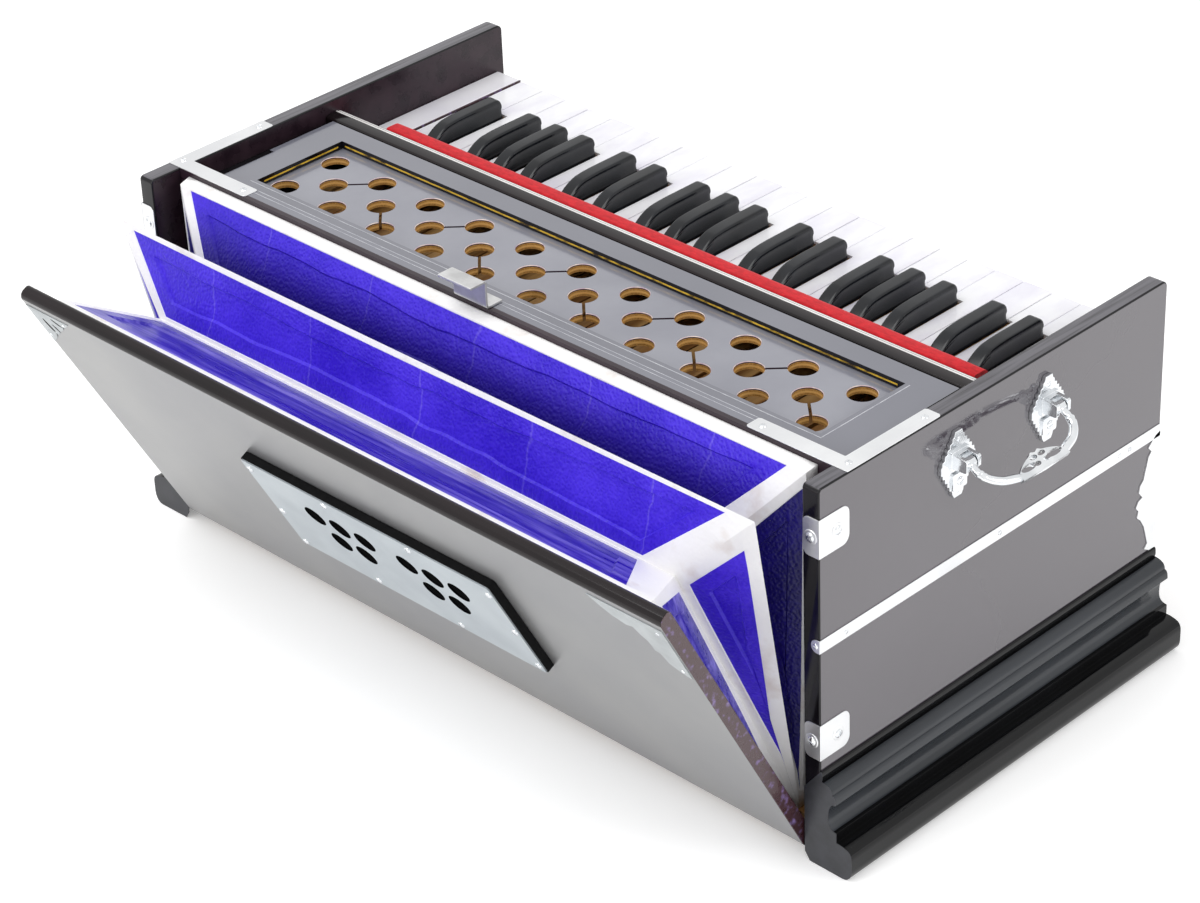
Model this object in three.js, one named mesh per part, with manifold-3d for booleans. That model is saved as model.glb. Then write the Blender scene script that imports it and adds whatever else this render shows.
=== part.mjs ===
// A portable Indian harmonium: a laminated box case with a keyboard of 39 keys, a hand bellows that
// swings out at the back, pull stops on the front and a drop handle on each end.
// Millimetres. +X is the treble end, -Y is the player's side and +Z is up.

import * as THREE from 'three';
import { mergeVertices } from 'three/addons/utils/BufferGeometryUtils.js';
import Module from 'manifold-3d';

const wasm = await Module();
wasm.setup();

// Clearances that every piece shares
const fitGap = 0.3; // between two pieces that touch
const cutOverrun = 4; // how far a cutter passes the faces that it cuts
const joinOverlap = 1; // how deep joined lumps of one piece sink into each other

// Flat faces round a bar, a small pin or hole, a sound hole and a turned knob
const barFacetCount = 16;
const pinFacetCount = 12;
const soundHoleFacetCount = 14;
const knobFacetCount = 16;
const handleFacetCount = 8;
const handleStepCount = 30;
const curveStepCount = 5; // straight steps for each curve of an outline

// Case; its length follows from the keyboard and its depth from what stands in it, front to rear
const caseHeight = 265; // floor to the top edge of a side panel
const panelThickness = 12.5;
const panelEdgeBevel = 1.2;
const footHeight = 10; // the panels and the base board stand this far off the floor
const baseThickness = 12;
const baseFrontSetback = 6;
const rearWallThickness = 13;
const bellowsRecess = 24.5; // rear wall to the rear edge of the panels
const airwayRadius = 14; // air holes from the bellows through the rear wall
const airwaySpacing = 110;
const airwayHeight = 140;
const airwayCount = 4;

// Plinth moulding along each end, measured out from the panel and up from the floor
const plinthTop = 63;
const plinthCoveReach = 9.5;
const plinthCoveHeight = 57;
const plinthBeadReach = 12;
const plinthBeadHeight = 51;
const plinthValleyReach = 6;
const plinthValleyHeight = 38;
const plinthStepReach = 12.5;
const plinthStepHeight = 31;
const plinthStepBottom = 24;
const plinthSlabReach = 24.4;
const plinthSlabTop = 19;
const plinthSlabMiddle = 12;
const plinthFootReach = 21;
const plinthFootInset = 1; // inner edge of the foot, out from the panel's outer face
const plinthTongue = 7; // how far the moulding's tongue runs in under the base board
const plinthTongueDrop = 0.8;

// Keyboard
const whiteCount = 23;
const whitePitch = 22.9;
const keySlit = 1; // between neighbouring keys
const blackWidth = 11;
const blackSideClear = 2; // beside a black key, to the white ones
const blackFrontClear = 2.5; // and in front of it
const blackSideShift = 3; // outer black keys of a group stand this far off the white keys' joint
const keyFrontSetback = 6.5; // front edge of the panels to the white keys
const whiteHeadLength = 48.5; // front of the white keys to the front of the black ones
const keyDrop = 26; // white keys below the top of the cover
const keyDepth = 18; // height of a white key's front
const keyRearClear = 26; // rear end of the keys to the rear wall
const keyDip = 5.5; // how far a pressed key goes down at its front edge
const keyLanding = 1; // room left below a pressed key, over the front board
const blackRise = 14; // top of a black key above the white ones
const blackNose = 5; // radius at the front of a black key
const blackFlatLength = 34.5; // level top of a black key, before it falls to the felt
const blackFallLength = 20;
const blackFallEase = 5; // how far the fall's curve is eased at its two ends
const blackFallMiddleRise = 10.5;
const blackHeelLength = 13;
const leverDrop = 3.5; // top of a black key's lever below the white keys
const palletTailLength = 4; // behind the pallet
const palletLength = 50;
const palletWidth = 9;
const balanceSetback = 10; // line on the balance rail about which every key rocks, before the cover
const balanceRadius = 4;
const railWidth = 12;
const endBlockWidth = 23.35; // plain white block at each end of the keyboard
const endBlockLap = 3.5; // how far it runs in under the fascia
const endBlockDrop = 0.5;

// Reed board under the key levers, with one pallet hole and one reed plate for each key
const reedBoardThickness = 14;
const palletTravelRoom = 8; // reed board up to the underside of the levers
const palletLap = 5; // how far a pallet covers past each end of its hole
const reedHoleWidth = 5.5;
const reedPlateWidth = 9;
const reedPlateMargin = 3;
const reedPlateThickness = 1.5;
const reedTongueWidth = 2.5;

// Reservoir board that the wind pushes down against its springs
const reservoirLength = 480;
const reservoirDepth = 190;
const reservoirThickness = 8;
const reservoirSetback = 23; // behind the front board
const reservoirDrop = 9.2; // top of the board below the reed board
const reservoirHingeWidth = 10;

// Front board and stops
const frontBoardThickness = 12;
const frontBoardSetback = 25; // behind the front edge of the white keys
const stopCount = 5;
const stopPitch = 92;
const stopHeight = 112;
const stopRodRadius = 4;
const stopRodLength = 46; // behind the knob
const stopCollarRadius = 9;
const stopCollarLength = 3;
const stopNeckRadius = 5.5;
const stopKnobRadius = 12.5;
const stopKnobLength = 23;
const stopTipShare = 0.55; // radius of the knob's flat tip, of the knob's radius
const stopBrimShare = 0.9; // radius where the tip's rounding ends
const stopBrimStartShare = 0.12; // and its place along the knob
const stopBellyShare = 0.6; // place of the widest ring, from the collar
const stopWaistShare = 0.8; // radius half way from the belly to the neck
const stopNeckShare = 0.25; // length of the neck, of the knob's length

// Top cover with its window, pierced panel, nosing and the sloping fascia over the keys
const coverDrop = 9.5; // below the top edge of the panels
const coverThickness = 5.5;
const coverSideMargin = 10.2; // low ledge between the cover's face and the side panel
const coverNotchMargin = 14.4;
const coverNotchLength = 56; // from the rear wall forward
const windowEndMargin = 37.9; // from the side panel
const windowFrontMargin = 27;
const windowDepth = 76;
const windowRearMargin = 21;
const coverFrameThickness = 4;
const piercedMargin = 8;
const piercedThickness = 5.5;
const nosingDepth = 6.4;
const nosingLap = 10.4; // back over the front edge of the cover
const nosingRise = 0.6;
const nosingRadius = 5;
const fasciaRun = 15.5; // depth of the slope from the fascia's face to the nosing
const fasciaClear = 2.8; // foot of the fascia above the white keys
const fasciaHeight = 10.3;
const fasciaThickness = 5.5;

// Sound holes of the pierced panel: columns of two holes and of one hole in turn
const soundHoleRadius = 9.5;
const soundHolePitch = 23.43;
const soundHoleShift = 2.7; // middle column towards the treble end
const soundHoleEndMargin = 12; // least from the last column to the window's end
const soundHoleRowStep = 22.5;
const soundHoleRowShift = 2.5; // middle row behind the middle of the window
const soundSlitWidth = 2;

// Red felt strip over the rear ends of the black keys
const feltDepth = 14.8;
const feltHeight = 10.9;
const feltEndMargin = 26.5; // from the side panel
const feltClear = 2; // behind the heel of the black keys

// Swinging bellows board, in its own upright frame: y out from the hinge line, z up
const openAngle = 28 * Math.PI / 180;
const foldedStack = 13.5; // rear wall to the hinge line
const hingeHeight = 12;
const boardInner = 1;
const boardOuter = 11.2;
const boardFoot = 3;
const boardTopGap = 2; // closed board below the top edge of the panels
const boardSideGap = 1.2;
const boardOuterRound = 5;
const boardInnerRound = 3;

// Vent plate on its thick gasket, and the intake holes behind it
const ventLength = 226;
const ventHeight = 96;
const ventThickness = 10;
const ventCentreX = -7;
const ventCentreZ = 135;
const ventHoleRadius = 9;
const intakeRadius = 8;
const ventHolePitch = 23;
const ventRowStep = 22;
const ventGroupStep = 84.5;
const ventGroupsX = -11;
const ventTopRow = 150;

// Bellows cloth on its folds. Each fold's corner lies in from the side panel, out from the rear wall
// and down from the top edge of the panels; its foot lies out from the rear wall
const clothThickness = 2.4;
const clothFootHeight = 22.6;
const clothFootInset = 15.5;
const clothEdge = { inset: 9.5, out: fitGap, drop: 3, footOut: fitGap };
const clothFrame = { inset: 10.5, out: 9, drop: 5, footOut: 8.5 };
const valleyOne = { inset: 55.5, out: 33, drop: 57, footOut: 10.2 };
const ridgeOne = { inset: 10, out: 61, drop: 9.6, footOut: 11.6 };
const valleyTwo = { inset: 56.5, out: 71, drop: 64, footOut: 12.8 };
const clothBoardInset = 22.8; // the last edge, in from the side panel
const clothBoardEdgeOut = 4.2; // its tape, off the bellows board
const clothBoardEdgeDrop = 12; // and below the top of the bellows board
const clothBoardDrop = 10;
const clothBoardFoot = 12;

// Drop handles
const handleHalfSpan = 42;
const handlePivotOut = 11;
const handlePivotDrop = 32.5; // below the top edge of the panels
const handleDrop = 25.5;
const handleBarRadius = 3.2;
const handleArmStraight = 7.6; // clear of the ears before the bar bends
const handleBendShares = [[0.97, 0.52], [0.82, 0.77], [0.48, 0.95]]; // of the half span and of the drop
const handleRestAngle = 60 * Math.PI / 180;
const handleEyeRadius = 4.3;
const handleEyeWidth = 6.6;
const handlePinRadius = 2;
const lugWidth = 31;
const lugHeight = 45;
const lugDrop = 4; // middle of the lug below the pivot
const lugThickness = 3;
const earThickness = 3;
const earRadius = 6;
const earGap = 0.4; // beside the handle's eye
const pinGap = 0.25;
const lugStepShares = [
	[0.11, 0.5], [0.13, 0.41], [0.25, 0.38], [0.26, 0.29], [0.38, 0.25], [0.39, 0.15], [0.5, 0.1],
	[0.5, -0.07], [0.42, -0.1], [0.41, -0.2], [0.32, -0.23], [0.3, -0.33], [0.21, -0.37], [0.17, -0.5],
];

// Z-shaped bracket on the middle of the rear wall
const bracketCentreX = 5.5;
const bracketWidth = 29;
const bracketFlange = 12;
const bracketRise = 20;
const bracketReach = 14;
const bracketSheet = 1.8;

// Places across the case, from the middle out
const keyboardHalf = whiteCount * whitePitch / 2;
const endBlockInner = keyboardHalf + keySlit / 2;
const insideHalf = endBlockInner + endBlockWidth;
const panelInner = insideHalf + fitGap;
const panelOuter = panelInner + panelThickness;
const coverFaceHalf = panelInner - coverSideMargin;
const windowHalf = panelInner - windowEndMargin;
const soundColumnsAside = Math.floor((windowHalf - soundHoleEndMargin - soundHoleShift) / soundHolePitch);

// Places from the front edge of the panels to the rear, with zero in the middle
const blackLength = blackFlatLength + blackFallLength + blackHeelLength;
const fasciaSetback = keyFrontSetback + whiteHeadLength + blackLength + feltClear + feltDepth + fitGap;
const coverSetback = fasciaSetback + fasciaRun + nosingDepth;
const coverDepth = windowFrontMargin + windowDepth + windowRearMargin;
const caseDepth = coverSetback + coverDepth + rearWallThickness + bellowsRecess;
const caseRearY = caseDepth / 2;
const caseFrontY = -caseRearY;
const keyFront = caseFrontY + keyFrontSetback;
const blackFront = keyFront + whiteHeadLength;
const blackFlatEnd = blackFront + blackFlatLength;
const blackFallEnd = blackFlatEnd + blackFallLength;
const blackHeel = blackFallEnd + blackHeelLength;
const fasciaFace = caseFrontY + fasciaSetback;
const nosingFront = fasciaFace + fasciaRun;
const coverFront = caseFrontY + coverSetback;
const balanceY = coverFront - balanceSetback;
const windowFront = coverFront + windowFrontMargin;
const windowRear = windowFront + windowDepth;
const wallFrontY = windowRear + windowRearMargin;
const wallRearY = wallFrontY + rearWallThickness;
const keyRear = wallFrontY - keyRearClear;
const palletRear = keyRear - palletTailLength;
const palletFront = palletRear - palletLength;
const reedHoleFront = palletFront + palletLap;
const reedHoleRear = palletRear - palletLap;
const frontBoardFace = keyFront + frontBoardSetback;
const frontBoardRear = frontBoardFace + frontBoardThickness;
const reservoirFront = frontBoardRear + reservoirSetback;
const hingeY = wallRearY + foldedStack;

// Heights above the floor
const baseTop = footHeight + baseThickness;
const coverTop = caseHeight - coverDrop;
const coverUnderside = coverTop - coverThickness;
const frameUnderside = coverUnderside - coverFrameThickness;
const whiteTop = coverTop - keyDrop;
const keyUnderside = whiteTop - keyDepth;
const fasciaFoot = whiteTop + fasciaClear;
const fasciaTop = fasciaFoot + fasciaHeight;
const reedBoardTop = keyUnderside - palletTravelRoom;
const reedBoardUnderside = reedBoardTop - reedBoardThickness;
const frontBoardTop = keyUnderside - keyDip - keyLanding;
const boardHeight = caseHeight - hingeHeight - boardTopGap;
const handlePivotHeight = caseHeight - handlePivotDrop;
const lugCentreHeight = handlePivotHeight - lugDrop;

// Finishes
function finish(color, roughness, metalness = 0) {
	return new THREE.MeshStandardMaterial({ color, roughness, metalness });
}

const laminate = finish('#3a3134', 0.35);
const coverLaminate = finish('#4a474b', 0.3);
const blackGloss = finish('#151314', 0.2);
const bareWood = finish('#b98a4c', 0.6);
const ivoryPlastic = finish('#f2f1ee', 0.25);
const ebonyPlastic = finish('#1d1f22', 0.3);
const redFelt = finish('#d8202a', 0.95);
const blueCloth = finish('#4328c0', 0.6);
const silverMetal = finish('#d5d7d8', 0.3, 0.9);
const silverSheet = finish('#b9bcbc', 0.35, 0.8);
const knobPlastic = finish('#e9e6df', 0.3);

// A closed geometry as a solid, and a solid as a geometry again
function solidOf(geometry) {
	const bare = geometry.clone();
	bare.deleteAttribute('normal');
	bare.deleteAttribute('uv');
	const merged = mergeVertices(bare);
	const vertProperties = new Float32Array(merged.attributes.position.array);
	const triVerts = new Uint32Array(merged.index.array);
	return new wasm.Manifold(new wasm.Mesh({ numProp: 3, vertProperties, triVerts }));
}

function geometryOf(solid) {
	const mesh = solid.getMesh();
	const geometry = new THREE.BufferGeometry();
	geometry.setAttribute('position', new THREE.BufferAttribute(mesh.vertProperties, 3));
	geometry.setIndex(new THREE.BufferAttribute(mesh.triVerts, 1));
	geometry.computeVertexNormals();
	return geometry;
}

// A block between limits on each axis
function block([x0, x1], [y0, y1], [z0, z1]) {
	const geometry = new THREE.BoxGeometry(x1 - x0, y1 - y0, z1 - z0);
	geometry.translate((x0 + x1) / 2, (y0 + y1) / 2, (z0 + z1) / 2);
	return solidOf(geometry);
}

function shapeOf(points) {
	return new THREE.Shape(points.map(([a, b]) => new THREE.Vector2(a, b)));
}

// A side view, drawn as (y, z), run along X
function alongX(shape, [x0, x1], bevel = 0) {
	const geometry = new THREE.ExtrudeGeometry(shape, {
		depth: x1 - x0 - 2 * bevel,
		bevelEnabled: bevel > 0,
		bevelThickness: bevel,
		bevelSize: bevel,
		bevelOffset: -bevel,
		bevelSegments: 1,
		curveSegments: curveStepCount,
	});
	const basis = new THREE.Matrix4().makeBasis(
		new THREE.Vector3(0, 1, 0), new THREE.Vector3(0, 0, 1), new THREE.Vector3(1, 0, 0));
	geometry.applyMatrix4(basis);
	geometry.translate(x0 + bevel, 0, 0);
	return solidOf(geometry);
}

// An end view, drawn as (x, z), run along Y
function alongY(shape, [y0, y1]) {
	const settings = { depth: y1 - y0, bevelEnabled: false, curveSegments: curveStepCount };
	const geometry = new THREE.ExtrudeGeometry(shape, settings);
	const basis = new THREE.Matrix4().makeBasis(
		new THREE.Vector3(1, 0, 0), new THREE.Vector3(0, 0, 1), new THREE.Vector3(0, -1, 0));
	geometry.applyMatrix4(basis);
	geometry.translate(0, y1, 0);
	return solidOf(geometry);
}

// A round bar along one axis, centred on a point
function roundBar(axis, radius, length, [x, y, z], facetCount = barFacetCount) {
	const geometry = new THREE.CylinderGeometry(radius, radius, length, facetCount);
	if (axis === 'x') geometry.rotateZ(Math.PI / 2);
	if (axis === 'z') geometry.rotateX(Math.PI / 2);
	geometry.translate(x, y, z);
	return solidOf(geometry);
}

function joined(solids) {
	return solids.reduce((sum, solid) => sum.add(solid));
}

function cut(solid, cutters) {
	return solid.subtract(joined(cutters));
}

// The same solid on the other end of the case
function mirrored(solid) {
	return solid.mirror([1, 0, 0]);
}

const harmonium = new THREE.Group();

function addPiece(name, solid, material, parent = harmonium) {
	const mesh = new THREE.Mesh(geometryOf(solid), material);
	mesh.name = name;
	parent.add(mesh);
	return mesh;
}

// Base board with a moulded plinth along each end
function plinthShape() {
	const out = (reach) => panelOuter + reach;
	const inner = out(fitGap);
	const shape = new THREE.Shape();
	shape.moveTo(inner, plinthTop);
	shape.quadraticCurveTo(out(plinthCoveReach), plinthTop, out(plinthCoveReach), plinthCoveHeight);
	shape.quadraticCurveTo(out(plinthBeadReach), plinthCoveHeight, out(plinthBeadReach), plinthBeadHeight);
	shape.quadraticCurveTo(
		out(plinthValleyReach), plinthBeadHeight, out(plinthValleyReach), plinthValleyHeight);
	shape.quadraticCurveTo(out(plinthValleyReach), plinthStepHeight, out(plinthStepReach), plinthStepHeight);
	shape.lineTo(out(plinthStepReach), plinthStepBottom);
	shape.quadraticCurveTo(out(plinthSlabReach), plinthStepBottom, out(plinthSlabReach), plinthSlabTop);
	shape.lineTo(out(plinthSlabReach), plinthSlabMiddle);
	shape.lineTo(out(plinthFootReach), 0);
	shape.lineTo(out(plinthFootInset), 0);
	shape.lineTo(insideHalf, footHeight - plinthTongueDrop);
	shape.lineTo(insideHalf - plinthTongue, footHeight - plinthTongueDrop);
	shape.lineTo(insideHalf - plinthTongue, footHeight + joinOverlap);
	shape.lineTo(insideHalf, footHeight + joinOverlap);
	shape.lineTo(insideHalf, footHeight - fitGap);
	shape.lineTo(inner, footHeight - fitGap);
	shape.closePath();
	return shape;
}

function makeBase() {
	const boardY = [caseFrontY + baseFrontSetback, hingeY - fitGap];
	const board = block([-insideHalf, insideHalf], boardY, [footHeight, baseTop]);
	const plinth = alongY(plinthShape(), [caseFrontY, caseRearY]);
	const behindHinge = block(
		[insideHalf - plinthTongue - cutOverrun, insideHalf],
		[hingeY - fitGap, caseRearY + cutOverrun], [0, baseTop]);
	return cut(joined([board, plinth, mirrored(plinth)]), [behindHinge, mirrored(behindHinge)]);
}

// Side panel with two crown-edged handle lugs, each with a pair of ears
function earShape() {
	const pivotX = panelOuter + handlePivotOut;
	const shape = new THREE.Shape();
	shape.moveTo(panelOuter, handlePivotHeight - earRadius);
	shape.lineTo(pivotX, handlePivotHeight - earRadius);
	shape.absarc(pivotX, handlePivotHeight, earRadius, -Math.PI / 2, Math.PI / 2, false);
	shape.lineTo(panelOuter, handlePivotHeight + earRadius);
	shape.closePath();
	return shape;
}

function makeLug(centreY) {
	const edge = (side) => lugStepShares.map(
		([w, h]) => [centreY + side * w * lugWidth, lugCentreHeight + h * lugHeight]);
	const crown = shapeOf([...edge(1).reverse(), ...edge(-1)]);
	const plate = alongX(crown, [panelOuter - joinOverlap, panelOuter + lugThickness]);
	const innerY = handleEyeWidth / 2 + earGap;
	const ears = [-1, 1].map((side) => {
		const near = centreY + side * innerY;
		const far = centreY + side * (innerY + earThickness);
		return alongY(earShape(), [Math.min(near, far), Math.max(near, far)]);
	});
	const pivot = [panelOuter + handlePivotOut, centreY, handlePivotHeight];
	const pinHoleLength = handleEyeWidth + 2 * (earThickness + cutOverrun);
	const pinHole = roundBar('y', handlePinRadius + pinGap, pinHoleLength, pivot, pinFacetCount);
	return cut(joined([plate, ...ears]), [pinHole]);
}

function makeSidePanel() {
	const side = shapeOf([
		[caseFrontY, footHeight], [caseRearY, footHeight], [caseRearY, caseHeight], [caseFrontY, caseHeight],
	]);
	const panel = alongX(side, [panelInner, panelOuter], panelEdgeBevel);
	return joined([panel, makeLug(-handleHalfSpan), makeLug(handleHalfSpan)]);
}

// Rear wall that closes the wind chest and carries the bellows, with air holes
function makeRearWall() {
	const wall = block([-insideHalf, insideHalf], [wallFrontY, wallRearY], [baseTop + fitGap, caseHeight]);
	const airways = Array.from({ length: airwayCount }, (_, i) => {
		const x = (i - (airwayCount - 1) / 2) * airwaySpacing;
		const length = rearWallThickness + 2 * cutOverrun;
		return roundBar('y', airwayRadius, length, [x, (wallFrontY + wallRearY) / 2, airwayHeight]);
	});
	return cut(wall, airways);
}

// Front board with a hole for each stop and a plain block at each end of the keyboard
function stopX(i) {
	return (i - (stopCount - 1) / 2) * stopPitch;
}

function makeFrontBoard() {
	const boardZ = [baseTop + fitGap, frontBoardTop];
	const board = block([-insideHalf, insideHalf], [frontBoardFace, frontBoardRear], boardZ);
	const endBlockRear = fasciaFace + endBlockLap;
	const endBlock = block(
		[endBlockInner, insideHalf], [keyFront, endBlockRear],
		[frontBoardTop - joinOverlap, whiteTop - endBlockDrop]);
	const holes = Array.from({ length: stopCount }, (_, i) => {
		const centre = [stopX(i), (frontBoardFace + frontBoardRear) / 2, stopHeight];
		return roundBar('y', stopRodRadius + fitGap, frontBoardThickness + 2 * cutOverrun, centre);
	});
	const rearRelief = block(
		[endBlockInner - cutOverrun, insideHalf + cutOverrun], [frontBoardRear, endBlockRear + cutOverrun],
		[frontBoardTop - 2 * joinOverlap, frontBoardTop]);
	return cut(joined([board, endBlock, mirrored(endBlock)]), [...holes, rearRelief, mirrored(rearRelief)]);
}

// A pull stop: a turned knob on a rod that slides in the front board
function makeStop(i) {
	const back = frontBoardFace - fitGap;
	const collarFront = back - stopCollarLength;
	const front = collarFront - stopKnobLength;
	const neckFront = collarFront - stopKnobLength * stopNeckShare;
	const belly = collarFront - stopKnobLength * stopBellyShare;
	const profile = [
		[0, front], [stopKnobRadius * stopTipShare, front],
		[stopKnobRadius * stopBrimShare, front + stopKnobLength * stopBrimStartShare],
		[stopKnobRadius, belly], [stopKnobRadius * stopWaistShare, (belly + neckFront) / 2],
		[stopNeckRadius, neckFront], [stopNeckRadius, collarFront], [stopCollarRadius, collarFront],
		[stopCollarRadius, back], [stopRodRadius, back], [stopRodRadius, back + stopRodLength],
		[0, back + stopRodLength],
	].map(([radius, y]) => new THREE.Vector2(radius, y));
	const geometry = new THREE.LatheGeometry(profile, knobFacetCount);
	geometry.translate(stopX(i), 0, stopHeight);
	return solidOf(geometry);
}

// Every key in order from the bass, with its place across the keyboard
const noteNames = ['c', 'csharp', 'd', 'dsharp', 'e', 'f', 'fsharp', 'g', 'gsharp', 'a', 'asharp', 'b'];
const blackNotes = { csharp: -1, dsharp: 1, fsharp: -1, gsharp: 0, asharp: 1 };
const octavesBelowCount = 3; // of the full compass, below the first key

function blackCentre(note, whitesBefore) {
	return -keyboardHalf + whitesBefore * whitePitch + blackNotes[note] * blackSideShift;
}

function layOutKeys() {
	const keys = [];
	let whites = 0;
	for (let semitone = 0; whites < whiteCount; semitone += 1) {
		const note = noteNames[semitone % noteNames.length];
		const name = `key_${note}${octavesBelowCount + Math.floor(semitone / noteNames.length)}`;
		if (note in blackNotes) {
			keys.push({ name, black: true, centre: blackCentre(note, whites) });
			continue;
		}
		const left = -keyboardHalf + whites * whitePitch;
		const right = left + whitePitch;
		const before = noteNames[(semitone + noteNames.length - 1) % noteNames.length];
		const after = noteNames[(semitone + 1) % noteNames.length];
		const reach = blackWidth / 2 + blackSideClear;
		const blackBefore = before in blackNotes && whites > 0;
		const blackAfter = after in blackNotes && whites < whiteCount - 1;
		const tailLeft = blackBefore ? blackCentre(before, whites) + reach : left + keySlit / 2;
		const tailRight = blackAfter ? blackCentre(after, whites + 1) - reach : right - keySlit / 2;
		const head = { left: left + keySlit / 2, right: right - keySlit / 2 };
		keys.push({ name, black: false, ...head, tailLeft, tailRight });
		whites += 1;
	}
	return keys;
}

function tailCentre(key) {
	return key.black ? key.centre : (key.tailLeft + key.tailRight) / 2;
}

function makePallet(key) {
	const centre = tailCentre(key);
	return block(
		[centre - palletWidth / 2, centre + palletWidth / 2], [palletFront, palletRear],
		[reedBoardTop + fitGap, keyUnderside + joinOverlap]);
}

function makeWhiteKey(key) {
	const shoulder = blackFront - blackFrontClear;
	const head = block([key.left, key.right], [keyFront, shoulder], [keyUnderside, whiteTop]);
	const tail = block(
		[key.tailLeft, key.tailRight], [shoulder - joinOverlap, keyRear], [keyUnderside, whiteTop]);
	return joined([head, tail, makePallet(key)]);
}

function makeBlackKey(key) {
	const top = whiteTop + blackRise;
	const leverTop = whiteTop - leverDrop;
	const shape = new THREE.Shape();
	shape.moveTo(blackFront, keyUnderside);
	shape.lineTo(keyRear, keyUnderside);
	shape.lineTo(keyRear, leverTop);
	shape.lineTo(blackHeel, leverTop);
	shape.lineTo(blackHeel, whiteTop + joinOverlap);
	shape.quadraticCurveTo(
		blackFallEnd + blackFallEase, whiteTop + blackFallMiddleRise,
		blackFallEnd - blackFallEase, top - joinOverlap);
	shape.lineTo(blackFlatEnd, top);
	shape.lineTo(blackFront + blackNose, top);
	shape.absarc(blackFront + blackNose, top - blackNose, blackNose, Math.PI / 2, Math.PI, false);
	shape.closePath();
	const body = alongX(shape, [key.centre - blackWidth / 2, key.centre + blackWidth / 2]);
	return joined([body, makePallet(key)]);
}

// Reed board with the balance rail on top and the reed plates below
function makeReedBoard(keys) {
	const boardY = [frontBoardRear + fitGap, wallFrontY - fitGap];
	const board = block([-insideHalf, insideHalf], boardY, [reedBoardUnderside, reedBoardTop]);
	const railTop = keyUnderside - fitGap;
	const rail = block(
		[-keyboardHalf, keyboardHalf], [balanceY - railWidth / 2, balanceY + railWidth / 2],
		[reedBoardTop - joinOverlap, railTop - balanceRadius]);
	const bead = roundBar('x', balanceRadius, 2 * keyboardHalf, [0, balanceY, railTop - balanceRadius]);
	const plates = keys.map((key) => block(
		[tailCentre(key) - reedPlateWidth / 2, tailCentre(key) + reedPlateWidth / 2],
		[reedHoleFront - reedPlateMargin, reedHoleRear + reedPlateMargin],
		[reedBoardUnderside - reedPlateThickness, reedBoardUnderside + joinOverlap]));
	const holes = keys.map((key) => block(
		[tailCentre(key) - reedHoleWidth / 2, tailCentre(key) + reedHoleWidth / 2],
		[reedHoleFront, reedHoleRear], [reedBoardUnderside + joinOverlap, reedBoardTop + cutOverrun]));
	const tongues = keys.map((key) => block(
		[tailCentre(key) - reedTongueWidth / 2, tailCentre(key) + reedTongueWidth / 2],
		[reedHoleFront + reedPlateMargin, reedHoleRear - reedPlateMargin],
		[reedBoardUnderside - reedPlateThickness - cutOverrun, reedBoardUnderside + 2 * joinOverlap]));
	return cut(joined([board, rail, bead, ...plates]), [...holes, ...tongues]);
}

// Reservoir board, hung from the reed board by the hinge ledge on its front edge
function makeReservoir() {
	const width = [-reservoirLength / 2, reservoirLength / 2];
	const top = reedBoardUnderside - reservoirDrop;
	const board = block(
		width, [reservoirFront, reservoirFront + reservoirDepth], [top - reservoirThickness, top]);
	const ledge = block(
		width, [reservoirFront, reservoirFront + reservoirHingeWidth],
		[top - joinOverlap, reedBoardUnderside - fitGap]);
	return joined([board, ledge]);
}

// Top cover: a face board over a wider frame, with a nosing and a fascia that slopes to the felt
function makeTopCover() {
	const rear = wallFrontY - fitGap;
	const face = block([-coverFaceHalf, coverFaceHalf], [coverFront, rear], [coverUnderside, coverTop]);
	const frame = block(
		[-insideHalf, insideHalf], [coverFront, rear], [frameUnderside, coverUnderside + joinOverlap]);
	const ledgeCut = block(
		[coverFaceHalf, insideHalf + cutOverrun], [coverFront + nosingLap, rear + cutOverrun],
		[coverUnderside, coverTop]);
	const notch = block(
		[panelInner - coverNotchMargin, coverFaceHalf + cutOverrun],
		[wallFrontY - coverNotchLength, rear + cutOverrun], [coverUnderside, coverTop + cutOverrun]);
	const through = [frameUnderside - cutOverrun, coverTop + cutOverrun];
	const window = block([-windowHalf, windowHalf], [windowFront, windowRear], through);
	const seatGrow = piercedMargin + fitGap;
	const seat = block(
		[-windowHalf - seatGrow, windowHalf + seatGrow], [windowFront - seatGrow, windowRear + seatGrow],
		[frameUnderside - cutOverrun, coverUnderside]);
	const edge = coverTop + nosingRise;
	const nosing = new THREE.Shape();
	nosing.moveTo(coverFront + nosingLap, frameUnderside);
	nosing.lineTo(coverFront + nosingLap, edge);
	nosing.lineTo(nosingFront + nosingRadius, edge);
	nosing.absarc(
		nosingFront + nosingRadius, edge - nosingRadius, nosingRadius, Math.PI / 2, Math.PI, false);
	nosing.lineTo(fasciaFace, fasciaTop);
	nosing.lineTo(fasciaFace, fasciaFoot);
	nosing.lineTo(fasciaFace + fasciaThickness, fasciaFoot);
	nosing.lineTo(fasciaFace + fasciaThickness, fasciaTop - fasciaThickness / 2);
	nosing.closePath();
	const front = alongX(nosing, [-insideHalf, insideHalf]);
	const cutters = [window, seat, ledgeCut, mirrored(ledgeCut), notch, mirrored(notch)];
	return cut(joined([face, frame, front]), cutters);
}

// Pierced panel: sound holes in a diagonal pattern, some pairs joined by a sawn slit
function soundHoleCentre(column, row) {
	const middleRow = (windowFront + windowRear) / 2 + soundHoleRowShift;
	return [
		soundHoleShift + (soundColumnsAside - column) * soundHolePitch,
		middleRow + row * soundHoleRowStep,
	];
}

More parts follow.
